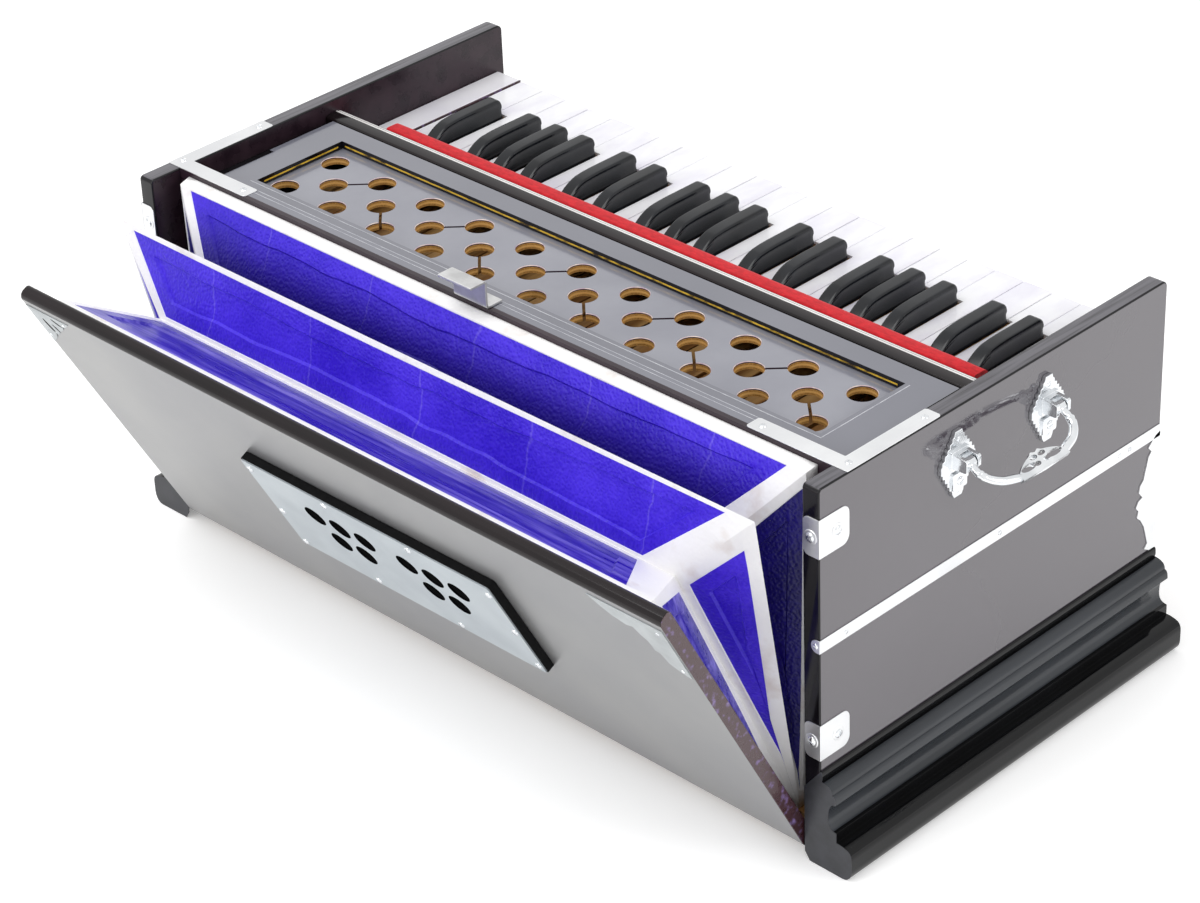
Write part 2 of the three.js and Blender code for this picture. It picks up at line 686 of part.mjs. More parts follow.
function makePiercedPanel() {
	const top = coverUnderside - fitGap;
	const middle = top - piercedThickness / 2;
	const panel = block(
		[-windowHalf - piercedMargin, windowHalf + piercedMargin],
		[windowFront - piercedMargin, windowRear + piercedMargin], [top - piercedThickness, top]);
	const cutters = [];
	const depth = piercedThickness + 2 * cutOverrun;
	const drill = ([x, y]) => {
		cutters.push(roundBar('z', soundHoleRadius, depth, [x, y, middle], soundHoleFacetCount));
	};
	for (let column = 0; column <= 2 * soundColumnsAside; column += 1) {
		if (column % 2 === 0) {
			drill(soundHoleCentre(column, -1));
			drill(soundHoleCentre(column, 1));
			continue;
		}
		const towards = (column % 4 === 1) ? -1 : 1;
		const from = soundHoleCentre(column, 0);
		const to = soundHoleCentre(column + 1, towards);
		drill(from);
		const length = Math.hypot(to[0] - from[0], to[1] - from[1]);
		const slit = new THREE.BoxGeometry(length, soundSlitWidth, depth);
		slit.rotateZ(Math.atan2(to[1] - from[1], to[0] - from[0]));
		slit.translate((from[0] + to[0]) / 2, (from[1] + to[1]) / 2, middle);
		cutters.push(solidOf(slit));
	}
	return cut(panel, cutters);
}

function makeFelt() {
	const rear = fasciaFace - fitGap;
	const front = rear - feltDepth;
	const top = fasciaFoot + feltHeight;
	const shape = new THREE.Shape();
	shape.moveTo(front, fasciaFoot);
	shape.lineTo(rear, fasciaFoot);
	shape.lineTo(rear, top);
	shape.lineTo(front + feltDepth / 2, top);
	shape.quadraticCurveTo(front, top, front, top - feltHeight / 2);
	shape.closePath();
	return alongX(shape, [feltEndMargin - panelInner, panelInner - feltEndMargin]);
}

function makeBracket() {
	const low = caseHeight + fitGap;
	const high = low + bracketRise;
	const riser = wallRearY + fitGap;
	const shape = shapeOf([
		[riser - bracketFlange, low], [riser + bracketSheet, low], [riser + bracketSheet, high - bracketSheet],
		[riser + bracketReach, high - bracketSheet], [riser + bracketReach, high], [riser, high],
		[riser, low + bracketSheet], [riser - bracketFlange, low + bracketSheet],
	]);
	return alongX(shape, [bracketCentreX - bracketWidth / 2, bracketCentreX + bracketWidth / 2]);
}

// Bellows board and vent plate, drawn upright and then leaned out together
function ventHoles() {
	const centres = [];
	for (const group of [-0.5, 0.5]) {
		const middle = ventGroupsX + group * ventGroupStep;
		for (const step of [-1, 0, 1]) centres.push([middle + step * ventHolePitch, ventTopRow]);
		for (const step of [-0.5, 0.5]) centres.push([middle + step * ventHolePitch, ventTopRow - ventRowStep]);
	}
	return centres;
}

function makeBellowsBoard() {
	const half = panelInner - boardSideGap;
	const shape = new THREE.Shape();
	shape.moveTo(boardInner, boardFoot);
	shape.lineTo(boardOuter, boardFoot);
	shape.lineTo(boardOuter, boardHeight - boardOuterRound);
	shape.absarc(
		boardOuter - boardOuterRound, boardHeight - boardOuterRound, boardOuterRound,
		0, Math.PI / 2, false);
	shape.lineTo(boardInner + boardInnerRound, boardHeight);
	shape.absarc(
		boardInner + boardInnerRound, boardHeight - boardInnerRound, boardInnerRound,
		Math.PI / 2, Math.PI, false);
	shape.closePath();
	const board = alongX(shape, [-half, half]);
	const middle = (boardInner + boardOuter) / 2;
	const length = boardOuter - boardInner + 2 * cutOverrun;
	const drill = ([x, z]) => roundBar('y', intakeRadius, length, [x, middle, z], pinFacetCount);
	return cut(board, ventHoles().map(drill));
}

function makeVentPlate() {
	const back = boardOuter + fitGap;
	const plate = block(
		[ventCentreX - ventLength / 2, ventCentreX + ventLength / 2], [back, back + ventThickness],
		[ventCentreZ - ventHeight / 2, ventCentreZ + ventHeight / 2]);
	const length = ventThickness + 2 * cutOverrun;
	const middle = back + ventThickness / 2;
	return cut(plate, ventHoles().map(([x, z]) => roundBar('y', ventHoleRadius, length, [x, middle, z])));
}

// Bellows cloth: a thin accordion skin from the rear wall to the swinging board, open at both ends
function leaned(y, z) {
	return {
		y: hingeY + y * Math.cos(openAngle) + z * Math.sin(openAngle),
		z: hingeHeight - y * Math.sin(openAngle) + z * Math.cos(openAngle),
	};
}

function clothSections() {
	const folds = [clothEdge, clothFrame, valleyOne, ridgeOne, valleyTwo].map((fold) => ({
		half: panelInner - fold.inset,
		footHalf: panelInner - clothFootInset,
		top: { y: wallRearY + fold.out, z: caseHeight - fold.drop },
		foot: { y: wallRearY + fold.footOut, z: clothFootHeight },
	}));
	const boardHalf = panelInner - clothBoardInset;
	const onBoard = (out, drop) => ({
		half: boardHalf,
		footHalf: boardHalf,
		top: leaned(-out, boardHeight - drop),
		foot: leaned(-out / 2, clothBoardFoot),
	});
	return [
		...folds,
		onBoard(clothBoardEdgeOut, clothBoardEdgeDrop),
		onBoard(fitGap - boardInner, clothBoardDrop),
	];
}

// A closed prism through the four corners of each section, shrunk by inset and run past both ends
function accordion(sections, inset, overrun) {
	const positions = sections.map(({ half, footHalf, top, foot }, i) => {
		const past = i === 0 ? -overrun : (i === sections.length - 1 ? overrun : 0);
		const x = half - inset;
		const footX = footHalf - inset;
		return [
			[x, top.y + past, top.z - inset], [-x, top.y + past, top.z - inset],
			[-footX, foot.y + past, foot.z + inset], [footX, foot.y + past, foot.z + inset],
		];
	});
	const cornerCount = 4;
	const index = [];
	for (let s = 0; s < sections.length - 1; s += 1) {
		for (let c = 0; c < cornerCount; c += 1) {
			const a = s * cornerCount + c;
			const b = s * cornerCount + (c + 1) % cornerCount;
			index.push(a, a + cornerCount, b, b, a + cornerCount, b + cornerCount);
		}
	}
	const last = (sections.length - 1) * cornerCount;
	index.push(0, 1, 2, 0, 2, 3, last, last + 2, last + 1, last, last + 3, last + 2);
	const geometry = new THREE.BufferGeometry();
	geometry.setAttribute('position', new THREE.Float32BufferAttribute(positions.flat(2), 3));
	geometry.setIndex(index);
	return solidOf(geometry);
}

function makeBellowsCloth() {
	const sections = clothSections();
	return accordion(sections, 0, 0).subtract(accordion(sections, clothThickness, cutOverrun));
}

// Drop handle, drawn hanging from its pivot line: y along the bar, z down
function makeHandle() {
	const arm = [
		[handleHalfSpan, 0], [handleHalfSpan, -handleArmStraight / 2], [handleHalfSpan, -handleArmStraight],
		...handleBendShares.map(([across, down]) => [handleHalfSpan * across, -handleDrop * down]),
	];
	const otherArm = arm.map(([y, z]) => [-y, z]).reverse();
	const points = [...arm, ...otherArm].map(([y, z]) => new THREE.Vector3(0, y, z));
	const route = new THREE.CatmullRomCurve3(points);
	const ring = Array.from({ length: handleFacetCount }, (_, i) => {
		const angle = (i + 0.5) * 2 * Math.PI / handleFacetCount;
		return [handleBarRadius * Math.cos(angle), handleBarRadius * Math.sin(angle)];
	});
	const settings = { extrudePath: route, steps: handleStepCount, bevelEnabled: false };
	const bar = solidOf(new THREE.ExtrudeGeometry(shapeOf(ring), settings));
	const ends = [-1, 1].flatMap((side) => {
		const centre = [0, side * handleHalfSpan, 0];
		const pinLength = handleEyeWidth + 2 * (earGap + earThickness);
		return [
			roundBar('y', handleEyeRadius, handleEyeWidth, centre),
			roundBar('y', handlePinRadius, pinLength, centre, pinFacetCount),
		];
	});
	return joined([bar, ...ends]);
}

// Put the case together
const sidePanel = makeSidePanel();
addPiece('base', makeBase(), blackGloss);
addPiece('treble_side_panel', sidePanel, laminate);
addPiece('bass_side_panel', mirrored(sidePanel), laminate);
addPiece('rear_wall', makeRearWall(), laminate);
addPiece('front_board', makeFrontBoard(), laminate);
addPiece('top_cover', makeTopCover(), coverLaminate);
addPiece('pierced_panel', makePiercedPanel(), coverLaminate);
addPiece('felt_strip', makeFelt(), redFelt);
addPiece('rear_bracket', makeBracket(), silverMetal);

// Keys and wind chest
const keys = layOutKeys();
for (const key of keys) {
	if (key.black) addPiece(key.name, makeBlackKey(key), ebonyPlastic);
	else addPiece(key.name, makeWhiteKey(key), ivoryPlastic);
}
addPiece('reed_board', makeReedBoard(keys), bareWood);
addPiece('reservoir_board', makeReservoir(), bareWood);
for (let i = 0; i < stopCount; i += 1) addPiece(`stop_${i + 1}`, makeStop(i), knobPlastic);

// Bellows, leaned out to the open pose
const bellows = new THREE.Group();
bellows.position.set(0, hingeY, hingeHeight);
bellows.rotation.x = -openAngle;
addPiece('bellows_board', makeBellowsBoard(), silverSheet, bellows);
addPiece('vent_plate', makeVentPlate(), silverMetal, bellows);
harmonium.add(bellows);
addPiece('bellows_cloth', makeBellowsCloth(), blueCloth);

// Handles, standing off the panels on their stops
for (const [name, side] of [['bass_handle', -1], ['treble_handle', 1]]) {
	const handle = addPiece(name, makeHandle(), silverMetal);
	handle.position.set(side * (panelOuter + handlePivotOut), 0, handlePivotHeight);
	handle.rotation.y = -side * handleRestAngle;
}

// The origin stands on the floor under the middle of the whole instrument
const extent = new THREE.Box3().setFromObject(harmonium, true);
const middle = extent.getCenter(new THREE.Vector3());
harmonium.position.set(-middle.x, -middle.y, -extent.min.z);

export default harmonium;
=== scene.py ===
"""Looks of a portable bellows harmonium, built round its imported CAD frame."""

import logging
import math
from collections.abc import Callable, Iterable, Sequence
from dataclasses import dataclass, field, replace
from enum import Enum, IntEnum

import bmesh
import bpy
from mathutils import Matrix, Vector, noise


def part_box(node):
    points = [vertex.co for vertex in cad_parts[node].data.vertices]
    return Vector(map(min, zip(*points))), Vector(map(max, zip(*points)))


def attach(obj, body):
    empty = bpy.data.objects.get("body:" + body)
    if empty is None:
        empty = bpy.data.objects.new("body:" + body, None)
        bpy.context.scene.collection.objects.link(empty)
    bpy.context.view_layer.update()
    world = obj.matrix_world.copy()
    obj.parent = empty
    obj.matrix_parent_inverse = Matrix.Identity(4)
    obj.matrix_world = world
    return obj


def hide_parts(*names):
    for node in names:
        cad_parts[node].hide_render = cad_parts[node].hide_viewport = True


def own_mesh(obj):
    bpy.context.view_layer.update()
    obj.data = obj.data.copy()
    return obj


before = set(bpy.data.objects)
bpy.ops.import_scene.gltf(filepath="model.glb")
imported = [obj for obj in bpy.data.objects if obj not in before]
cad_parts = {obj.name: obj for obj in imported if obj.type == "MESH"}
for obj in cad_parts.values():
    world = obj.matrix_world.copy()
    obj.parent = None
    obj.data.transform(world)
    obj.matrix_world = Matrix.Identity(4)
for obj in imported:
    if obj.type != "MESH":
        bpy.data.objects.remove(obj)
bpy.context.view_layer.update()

LOG = logging.getLogger("harmonium")
MM = 0.001
SHARP_ANGLE = math.radians(32)
Point2 = tuple[float, float]
Point3 = tuple[float, float, float]
Tree, Node, Socket = bpy.types.NodeTree, bpy.types.Node, bpy.types.NodeSocket
Piece = bpy.types.Object
Pattern = tuple[Socket, Socket, Socket | None]


# Places, outlines and meshes

def case_place() -> Matrix:
    """Return the matrix from the case's millimetres to the frame's metres."""
    low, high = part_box("treble_side_panel")
    return Matrix.Translation((0, (low.y + high.y) / 2, 0)) @ Matrix.Scale(MM, 4)


CASE = case_place()


class Axis(Enum):
    """Direction in which an outline is drawn out."""

    X = (1, 2, 0)
    Y = (0, 2, 1)
    Z = (0, 1, 2)

    def point(self, a: float, b: float, along: float) -> Vector:
        """Return the point of an outline at a station on the axis.

        Args:
            a: the point's first coordinate in the outline.
            b: its second coordinate.
            along: the station.

        Returns:
            The point.
        """
        place = [0.0, 0.0, 0.0]
        for index, value in zip(self.value, (a, b, along)):
            place[index] = value
        return Vector(place)

    @property
    def turn(self) -> Point3:
        """Return the Euler angles that lay an upright cutter along the axis."""
        quarter = math.pi / 2
        return {Axis.X: (0.0, quarter, 0.0), Axis.Y: (quarter, 0.0, 0.0), Axis.Z: (0.0, 0.0, 0.0)}[self]


class End(IntEnum):
    """One end of the instrument; its number is the sign of X there."""

    BASS = -1
    TREBLE = 1

    def named(self, piece: str) -> str:
        """Return the name of this end's piece."""
        return f"{self.name.lower()}_{piece}"

    def span(self, near: float, far: float) -> Point2:
        """Return the range between two distances from the middle, lower end first."""
        return tuple(sorted((self * near, self * far)))


def mirrored(points: Iterable[Point2], end: End) -> list[Point2]:
    """Return an outline at one end, from points whose first coordinate runs from the middle."""
    return [(end * a, b) for a, b in points]


def distinct(points: Sequence[Point2]) -> list[Point2]:
    """Return an outline without points that repeat the one before."""
    return [point for i, point in enumerate(points) if point != points[i - 1]]


def quadratic(start: Point2, control: Point2, end: Point2, steps: int = 10) -> list[Point2]:
    """Return the points of a quadratic curve, without its start.

    Args:
        start: where the curve leaves.
        control: the point that pulls it.
        end: where it arrives.
        steps: how many straight steps it has.

    Returns:
        The ends of the steps.
    """
    curve = []
    for i in range(1, steps + 1):
        t = i / steps
        weights = ((1 - t) ** 2, 2 * t * (1 - t), t * t)
        curve.append(tuple(sum(w * p[k] for w, p in zip(weights, (start, control, end))) for k in (0, 1)))
    return curve


def rounded(corners: Sequence[tuple[float, float, float]], steps: int = 6) -> list[Point2]:
    """Round the corners of an outline.

    Args:
        corners: (a, b, radius) of each corner in order; a radius of 0 stays sharp.
        steps: straight steps in each rounding.

    Returns:
        The points of the rounded outline.
    """
    points: list[Point2] = []
    for i, (a, b, radius) in enumerate(corners):
        corner = Vector((a, b))
        if radius == 0:
            points.append((a, b))
            continue
        before = (Vector(corners[i - 1][:2]) - corner).normalized()
        after = (Vector(corners[(i + 1) % len(corners)][:2]) - corner).normalized()
        half = before.angle(after) / 2
        centre = corner + (before + after).normalized() * radius / math.sin(half)
        first = corner + before * radius / math.tan(half) - centre
        last = corner + after * radius / math.tan(half) - centre
        start = math.atan2(first.y, first.x)
        sweep = (math.atan2(last.y, last.x) - start + math.pi) % (2 * math.pi) - math.pi
        for k in range(steps + 1):
            angle = start + sweep * k / steps
            points.append((centre.x + radius * math.cos(angle), centre.y + radius * math.sin(angle)))
    return points


def rectangle(a: Point2, b: Point2, radius: float = 0) -> list[Point2]:
    """Return a rectangle's outline from its two ranges, with rounded corners."""
    (a0, a1), (b0, b1) = a, b
    return rounded([(a0, b0, radius), (a1, b0, radius), (a1, b1, radius), (a0, b1, radius)])


class CutKind(IntEnum):
    """Shape of a cutter."""

    ROUND = 1
    SQUARE = 2
    RIM = 3


@dataclass(frozen=True)
class Cut:
    """One cut through a board: its middle, the cutter's three sizes and its turn."""

    centre: Point3
    size: Point3
    turn: Point3 = (0.0, 0.0, 0.0)
    kind: CutKind = CutKind.ROUND


def bores(centres: Iterable[Point2], y: float, radius: float, depth: float) -> list[Cut]:
    """Return round cuts along Y through a board, one at each (x, z) place."""
    return [Cut((x, y, z), (radius, radius, depth), Axis.Y.turn) for x, z in centres]


@dataclass(frozen=True)
class Screw:
    """One domed screw: the middle of its head, the way it faces and the head's radius."""

    centre: Point3
    aim: Point3
    radius: float = 2.6


def in_scene(name: str, data: bpy.types.ID) -> Piece:
    """Make an object and link it to the scene.

    Args:
        name: its name.
        data: its mesh, lamp or camera.

    Returns:
        The object.
    """
    thing = bpy.data.objects.new(name, data)
    bpy.context.scene.collection.objects.link(thing)
    return thing


class Shape:
    """A piece's mesh in the making, in millimetres."""

    def __init__(self) -> None:
        """Start with an empty mesh."""
        self.mesh = bmesh.new()

    def loft(self, rings: Sequence[Sequence[Vector]], finish: int | Sequence[int] = 0,
             caps: tuple[int, int] | None = (0, 0), closed: bool = False) -> "Shape":
        """Skin a row of rings with equal counts of points.

        Args:
            rings: the rings in order.
            finish: number of the finish, or one for each side of a ring.
            caps: finishes of the first and the last ring's faces, or None for open ends.
            closed: whether the last ring joins the first.

        Returns:
            The shape itself.
        """
        rows = [[self.mesh.verts.new(point) for point in ring] for ring in rings]
        count = len(rows[0])
        pairs = list(zip(rows, rows[1:])) + ([(rows[-1], rows[0])] if closed else [])
        for a, b in pairs:
            for i in range(count):
                k = (i + 1) % count
                face = self.mesh.faces.new((a[i], a[k], b[k], b[i]))
                face.material_index = finish if isinstance(finish, int) else finish[i]
        if caps is not None and not closed:
            self.mesh.faces.new(rows[0][::-1]).material_index = caps[0]
            self.mesh.faces.new(rows[-1]).material_index = caps[1]
        return self

    def prism(self, outline: Sequence[Point2], axis: Axis, low: float, high: float,
              finish: int | Sequence[int] = 0, caps: tuple[int, int] | None = None) -> "Shape":
        """Draw an outline out along an axis.

        Args:
            outline: its points.
            axis: the direction.
            low: the first end's station.
            high: the other end's station.
            finish: the sides' finish, or one for each side.
            caps: the two ends' finishes; the sides' own if left out.

        Returns:
            The shape itself.
        """
        rings = [[axis.point(a, b, at) for a, b in outline] for at in (low, high)]
        side = finish if isinstance(finish, int) else finish[0]
        return self.loft(rings, finish, caps or (side, side))

    def block(self, x: Point2, y: Point2, z: Point2, finish: int = 0,
              caps: tuple[int, int] | None = None) -> "Shape":
        """Add a block from its three ranges; caps are its lower and upper face's finishes."""
        return self.prism([(x[0], y[0]), (x[1], y[0]), (x[1], y[1]), (x[0], y[1])], Axis.Z, *z, finish, caps)

    def lathe(self, profile: Sequence[Point2], axis: Axis, centre: Point2, steps: int = 32,
              finish: int | Sequence[int] = 0) -> "Shape":
        """Turn a profile round an axis.

        Args:
            profile: (radius, station) pairs that start and end at a radius of 0.
            axis: direction of the axis.
            centre: the axis' place in the other two coordinates.
            steps: straight steps round it.
            finish: the finish, or one for each step of the profile.

        Returns:
            The shape itself.
        """
        for step, (first, second) in enumerate(zip(profile, profile[1:])):
            rings = []
            for radius, along in (first, second):
                angles = [2 * math.pi * i / steps for i in range(steps)]
                rings.append([axis.point(centre[0] + radius * math.cos(t), centre[1] + radius * math.sin(t),
                                         along) for t in angles])
            self.loft(rings, finish if isinstance(finish, int) else finish[step], None)
        return self

    def piece(self, name: str, finishes: Sequence["Finish"], place: Matrix = CASE, bevel: float = 0.0,
              cuts: Sequence[Cut] = (), wall: "Finish | None" = None,
              rim: "Finish | None" = None) -> Piece:
        """Finish the mesh and make it an object.

        Args:
            name: the piece's name.
            finishes: what its finish numbers stand for.
            place: from the shape's millimetres to the frame's metres.
            bevel: width of its broken edges, in millimetres.
            cuts: cuts through it.
            wall: finish of the cuts' walls.
            rim: finish of the cuts' rims.

        Returns:
            The object, at the origin with its place in its mesh.
        """
        bmesh.ops.remove_doubles(self.mesh, verts=self.mesh.verts, dist=1e-4)
        bmesh.ops.recalc_face_normals(self.mesh, faces=self.mesh.faces)
        if cuts:
            layers = self.mesh.verts.layers
            kind, size, turn = (layers.int.new("cut_kind"), layers.float_vector.new("cut_size"),
                                layers.float_vector.new("cut_turn"))
            for cut in cuts:
                point = self.mesh.verts.new(cut.centre)
                point[kind], point[size], point[turn] = int(cut.kind), cut.size, cut.turn
        data = bpy.data.meshes.new(name)
        self.mesh.to_mesh(data)
        self.mesh.free()
        for finish in finishes:
            data.materials.append(finish.material())
        thing = in_scene(name, data)
        if cuts:
            facing = (wall or finishes[0]).material()
            run_tree(thing, drilled_board_tree(), {
                "Wall": facing, "Rim": (rim.material() if rim else facing), "Board": finishes[0].material()})
        thing.data.transform(place)
        return smooth_piece(thing, bevel)


def smooth_piece(thing: Piece, bevel: float = 0.0) -> Piece:
    """Shade a piece smooth up to its sharp edges, and break those if a width is given.

    Args:
        thing: the piece.
        bevel: width of its broken edges, in millimetres.

    Returns:
        The piece.
    """
    thing.data.shade_smooth()
    if bevel:
        edge = thing.modifiers.new("Broken edges", "BEVEL")
        edge.width = bevel * MM
        edge.segments = 2
        edge.limit_method = "ANGLE"
        edge.angle_limit = SHARP_ANGLE
        edge.use_clamp_overlap = True
        thing.modifiers.new("Flat faces", "WEIGHTED_NORMAL").keep_sharp = True
    else:
        thing.data.set_sharp_from_angle(angle=SHARP_ANGLE)
    return thing


def dress_faces(thing: Piece, finish: "Finish",
                rule: Callable[[Vector, Vector], bool]) -> Piece:
    """Give a finish to the faces that a rule picks.

    Args:
        thing: the piece.
        finish: the finish.
        rule: takes a face's normal and its middle in metres.

    Returns:
        The piece.
    """
    thing.data.materials.append(finish.material())
    last = len(thing.data.materials) - 1
    for face in thing.data.polygons:
        if rule(face.normal, face.center):
            face.material_index = last
    return thing


def put(thing: Piece, body: str, slot: str, *replaced: str) -> Piece:
    """Hang a finished piece on its body.

    Args:
        thing: the piece.
        body: the CAD body that it moves with.
        slot: the record's material slot that its finish belongs to.
        replaced: CAD nodes that it stands for.

    Returns:
        The piece.
    """
    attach(thing, body)
    if replaced:
        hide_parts(*replaced)
    LOG.info("%s: body %s, slot %s, %d faces", thing.name, body, slot, len(thing.data.polygons))
    return thing


# Node trees

def add_node(tree: Tree, kind: str, settings: dict | None = None,
             links: dict | None = None) -> Node:
    """Add one node to a tree.

    Args:
        tree: the tree.
        kind: the node's type.
        settings: properties or input values by name, or input values by number; "stops" sets a
            colour ramp's (place, hex colour) pairs.
        links: output sockets, or nodes for their first output, by the name or number of the
            input that each feeds.

    Returns:
        The node.
    """
    node = tree.nodes.new(kind)
    for key, value in (settings or {}).items():
        if key == "stops":
            ramp = node.color_ramp
            for i, (place, colour) in enumerate(value):
                stop = ramp.elements[i] if i < 2 else ramp.elements.new(place)
                stop.position, stop.color = place, linear(colour)
        elif isinstance(key, str) and hasattr(node, key):
            setattr(node, key, value)
        else:
            node.inputs[key].default_value = value
    for key, source in (links or {}).items():
        tree.links.new(source.outputs[0] if isinstance(source, Node) else source, node.inputs[key])
    return node


def new_tree(name: str, sockets: Sequence[tuple[str, str]]) -> tuple[Tree, Node]:
    """Start a Geometry Nodes tree with a geometry in and out, and its own named inputs.

    Args:
        name: the tree's name.
        sockets: name and socket type of each further input.

    Returns:
        The tree and its input node.
    """
    tree = bpy.data.node_groups.new(name, "GeometryNodeTree")
    tree.interface.new_socket("Geometry", in_out="OUTPUT", socket_type="NodeSocketGeometry")
    for label, kind in (("Geometry", "NodeSocketGeometry"), *sockets):
        tree.interface.new_socket(label, in_out="INPUT", socket_type=kind)
    return tree, add_node(tree, "NodeGroupInput")


def run_tree(thing: Piece, tree: Tree, values: dict) -> Piece:
    """Run a Geometry Nodes tree on a piece and keep the plain mesh that it makes.

    Args:
        thing: the piece.
        tree: the tree.
        values: the tree's inputs by name.

    Returns:
        The piece.
    """
    modifier = thing.modifiers.new(tree.name, "NODES")
    modifier.node_group = tree
    for item in tree.interface.items_tree:
        if item.in_out == "INPUT" and item.name in values:
            modifier[item.identifier] = values[item.name]
    bpy.context.view_layer.update()
    depsgraph = bpy.context.evaluated_depsgraph_get()
    made = bpy.data.meshes.new_from_object(
        thing.evaluated_get(depsgraph), preserve_all_data_layers=True, depsgraph=depsgraph)
    thing.modifiers.remove(modifier)
    rough, thing.data = thing.data, made
    bpy.data.meshes.remove(rough)
    made.name = thing.name
    return thing


def drilled_board_tree() -> Tree:
    """Return the tree that cuts a board at its loose points.

    Returns:
        The tree, whose points carry cut_kind, cut_size and cut_turn.
    """
    name = "Drilled board"
    if name in bpy.data.node_groups:
        return bpy.data.node_groups[name]
    sides = 32
    tree, start = new_tree(name, [(label, "NodeSocketMaterial") for label in ("Wall", "Rim", "Board")])
    kind = add_node(tree, "GeometryNodeInputNamedAttribute", {"data_type": "INT", "Name": "cut_kind"})
    size, turn = (add_node(tree, "GeometryNodeInputNamedAttribute", {"data_type": "FLOAT_VECTOR", "Name": n})
                  for n in ("cut_size", "cut_turn"))
    split = add_node(tree, "GeometryNodeSeparateGeometry", {"domain": "POINT"},
                     {"Geometry": start, "Selection": kind})
    drill = add_node(tree, "GeometryNodeMeshCylinder",
                     {"Vertices": sides, "Side Segments": 1, "Radius": 1.0, "Depth": 1.0})
    saw = add_node(tree, "GeometryNodeMeshCube", {"Size": (1.0, 1.0, 1.0)})
    sink = add_node(tree, "GeometryNodeMeshCone",
                    {"Vertices": sides, "Side Segments": 1, "Radius Top": 1.0, "Radius Bottom": 0.93,
                     "Depth": 1.0})
    cutters = add_node(tree, "GeometryNodeJoinGeometry")
    for number, (tool, finish) in enumerate(((drill, "Wall"), (saw, "Wall"), (sink, "Rim")), 1):
        dressed = add_node(tree, "GeometryNodeSetMaterial", None,
                           {"Geometry": tool, "Material": start.outputs[finish]})
        chosen = add_node(tree, "FunctionNodeCompare", {"data_type": "INT", "operation": "EQUAL", 3: number},
                          {2: kind})
        placed = add_node(tree, "GeometryNodeInstanceOnPoints", None, {
            "Points": split.outputs["Selection"], "Selection": chosen, "Instance": dressed,
            "Rotation": turn, "Scale": size})
        tree.links.new(placed.outputs[0], cutters.inputs[0])
    cut = add_node(tree, "GeometryNodeMeshBoolean", {"operation": "DIFFERENCE", "solver": "EXACT"},
                   {"Mesh 1": split.outputs["Inverted"], "Mesh 2": cutters})
    whole = add_node(tree, "GeometryNodeRealizeInstances", None, {"Geometry": cut})
    walls, rims = (add_node(tree, "GeometryNodeMaterialSelection", None, {"Material": start.outputs[n]})
                   for n in ("Wall", "Rim"))
    board = add_node(tree, "FunctionNodeBooleanMath", {"operation": "NOR"}, {0: walls, 1: rims})
    end = add_node(tree, "GeometryNodeSetMaterial", None,
                   {"Geometry": whole, "Selection": board, "Material": start.outputs["Board"]})
    add_node(tree, "NodeGroupOutput", None, {"Geometry": end})
    return tree


def screw_set_tree() -> Tree:
    """Return the tree that sets a slotted, domed screw head on every point.

    Returns:
        The tree, whose points carry aim and head, the head's radius.
    """
    name = "Screw set"
    if name in bpy.data.node_groups:
        return bpy.data.node_groups[name]
    dome_flatness, slot_width, slot_depth = 0.42, 0.26, 0.3
    tree, start = new_tree(name, [("Head", "NodeSocketMaterial"), ("Seed", "NodeSocketInt")])
    ball = add_node(tree, "GeometryNodeMeshUVSphere", {"Segments": 16, "Rings": 8, "Radius": 1.0})
    dome = add_node(tree, "GeometryNodeTransform", {"Scale": (1.0, 1.0, dome_flatness)}, {"Geometry": ball})
    slot = add_node(tree, "GeometryNodeMeshCube", {"Size": (3.0, slot_width, slot_depth)})
    raised = add_node(tree, "GeometryNodeTransform", {"Translation": (0.0, 0.0, dome_flatness)},
                      {"Geometry": slot})
    head = add_node(tree, "GeometryNodeMeshBoolean", {"operation": "DIFFERENCE", "solver": "EXACT"},
                    {"Mesh 1": dome, "Mesh 2": raised})
    aim = add_node(tree, "GeometryNodeInputNamedAttribute", {"data_type": "FLOAT_VECTOR", "Name": "aim"})
    radius = add_node(tree, "GeometryNodeInputNamedAttribute", {"data_type": "FLOAT", "Name": "head"})
    spin = add_node(tree, "FunctionNodeRandomValue", {"data_type": "FLOAT", 2: 0.0, 3: math.pi},
                    {"Seed": start.outputs["Seed"]})
    about = add_node(tree, "ShaderNodeCombineXYZ", None, {"Z": spin.outputs[1]})
    facing = add_node(tree, "FunctionNodeAlignRotationToVector", {"axis": "Z"}, {"Vector": aim})
    twist = add_node(tree, "FunctionNodeEulerToRotation", None, {"Euler": about})
    turned = add_node(tree, "FunctionNodeRotateRotation", {"rotation_space": "LOCAL"},
                      {"Rotation": facing, "Rotate By": twist})
    placed = add_node(tree, "GeometryNodeInstanceOnPoints", None,
                      {"Points": start, "Instance": head, "Rotation": turned, "Scale": radius})
    whole = add_node(tree, "GeometryNodeRealizeInstances", None, {"Geometry": placed})
    end = add_node(tree, "GeometryNodeSetMaterial", None,
                   {"Geometry": whole, "Material": start.outputs["Head"]})
    add_node(tree, "NodeGroupOutput", None, {"Geometry": end})
    return tree


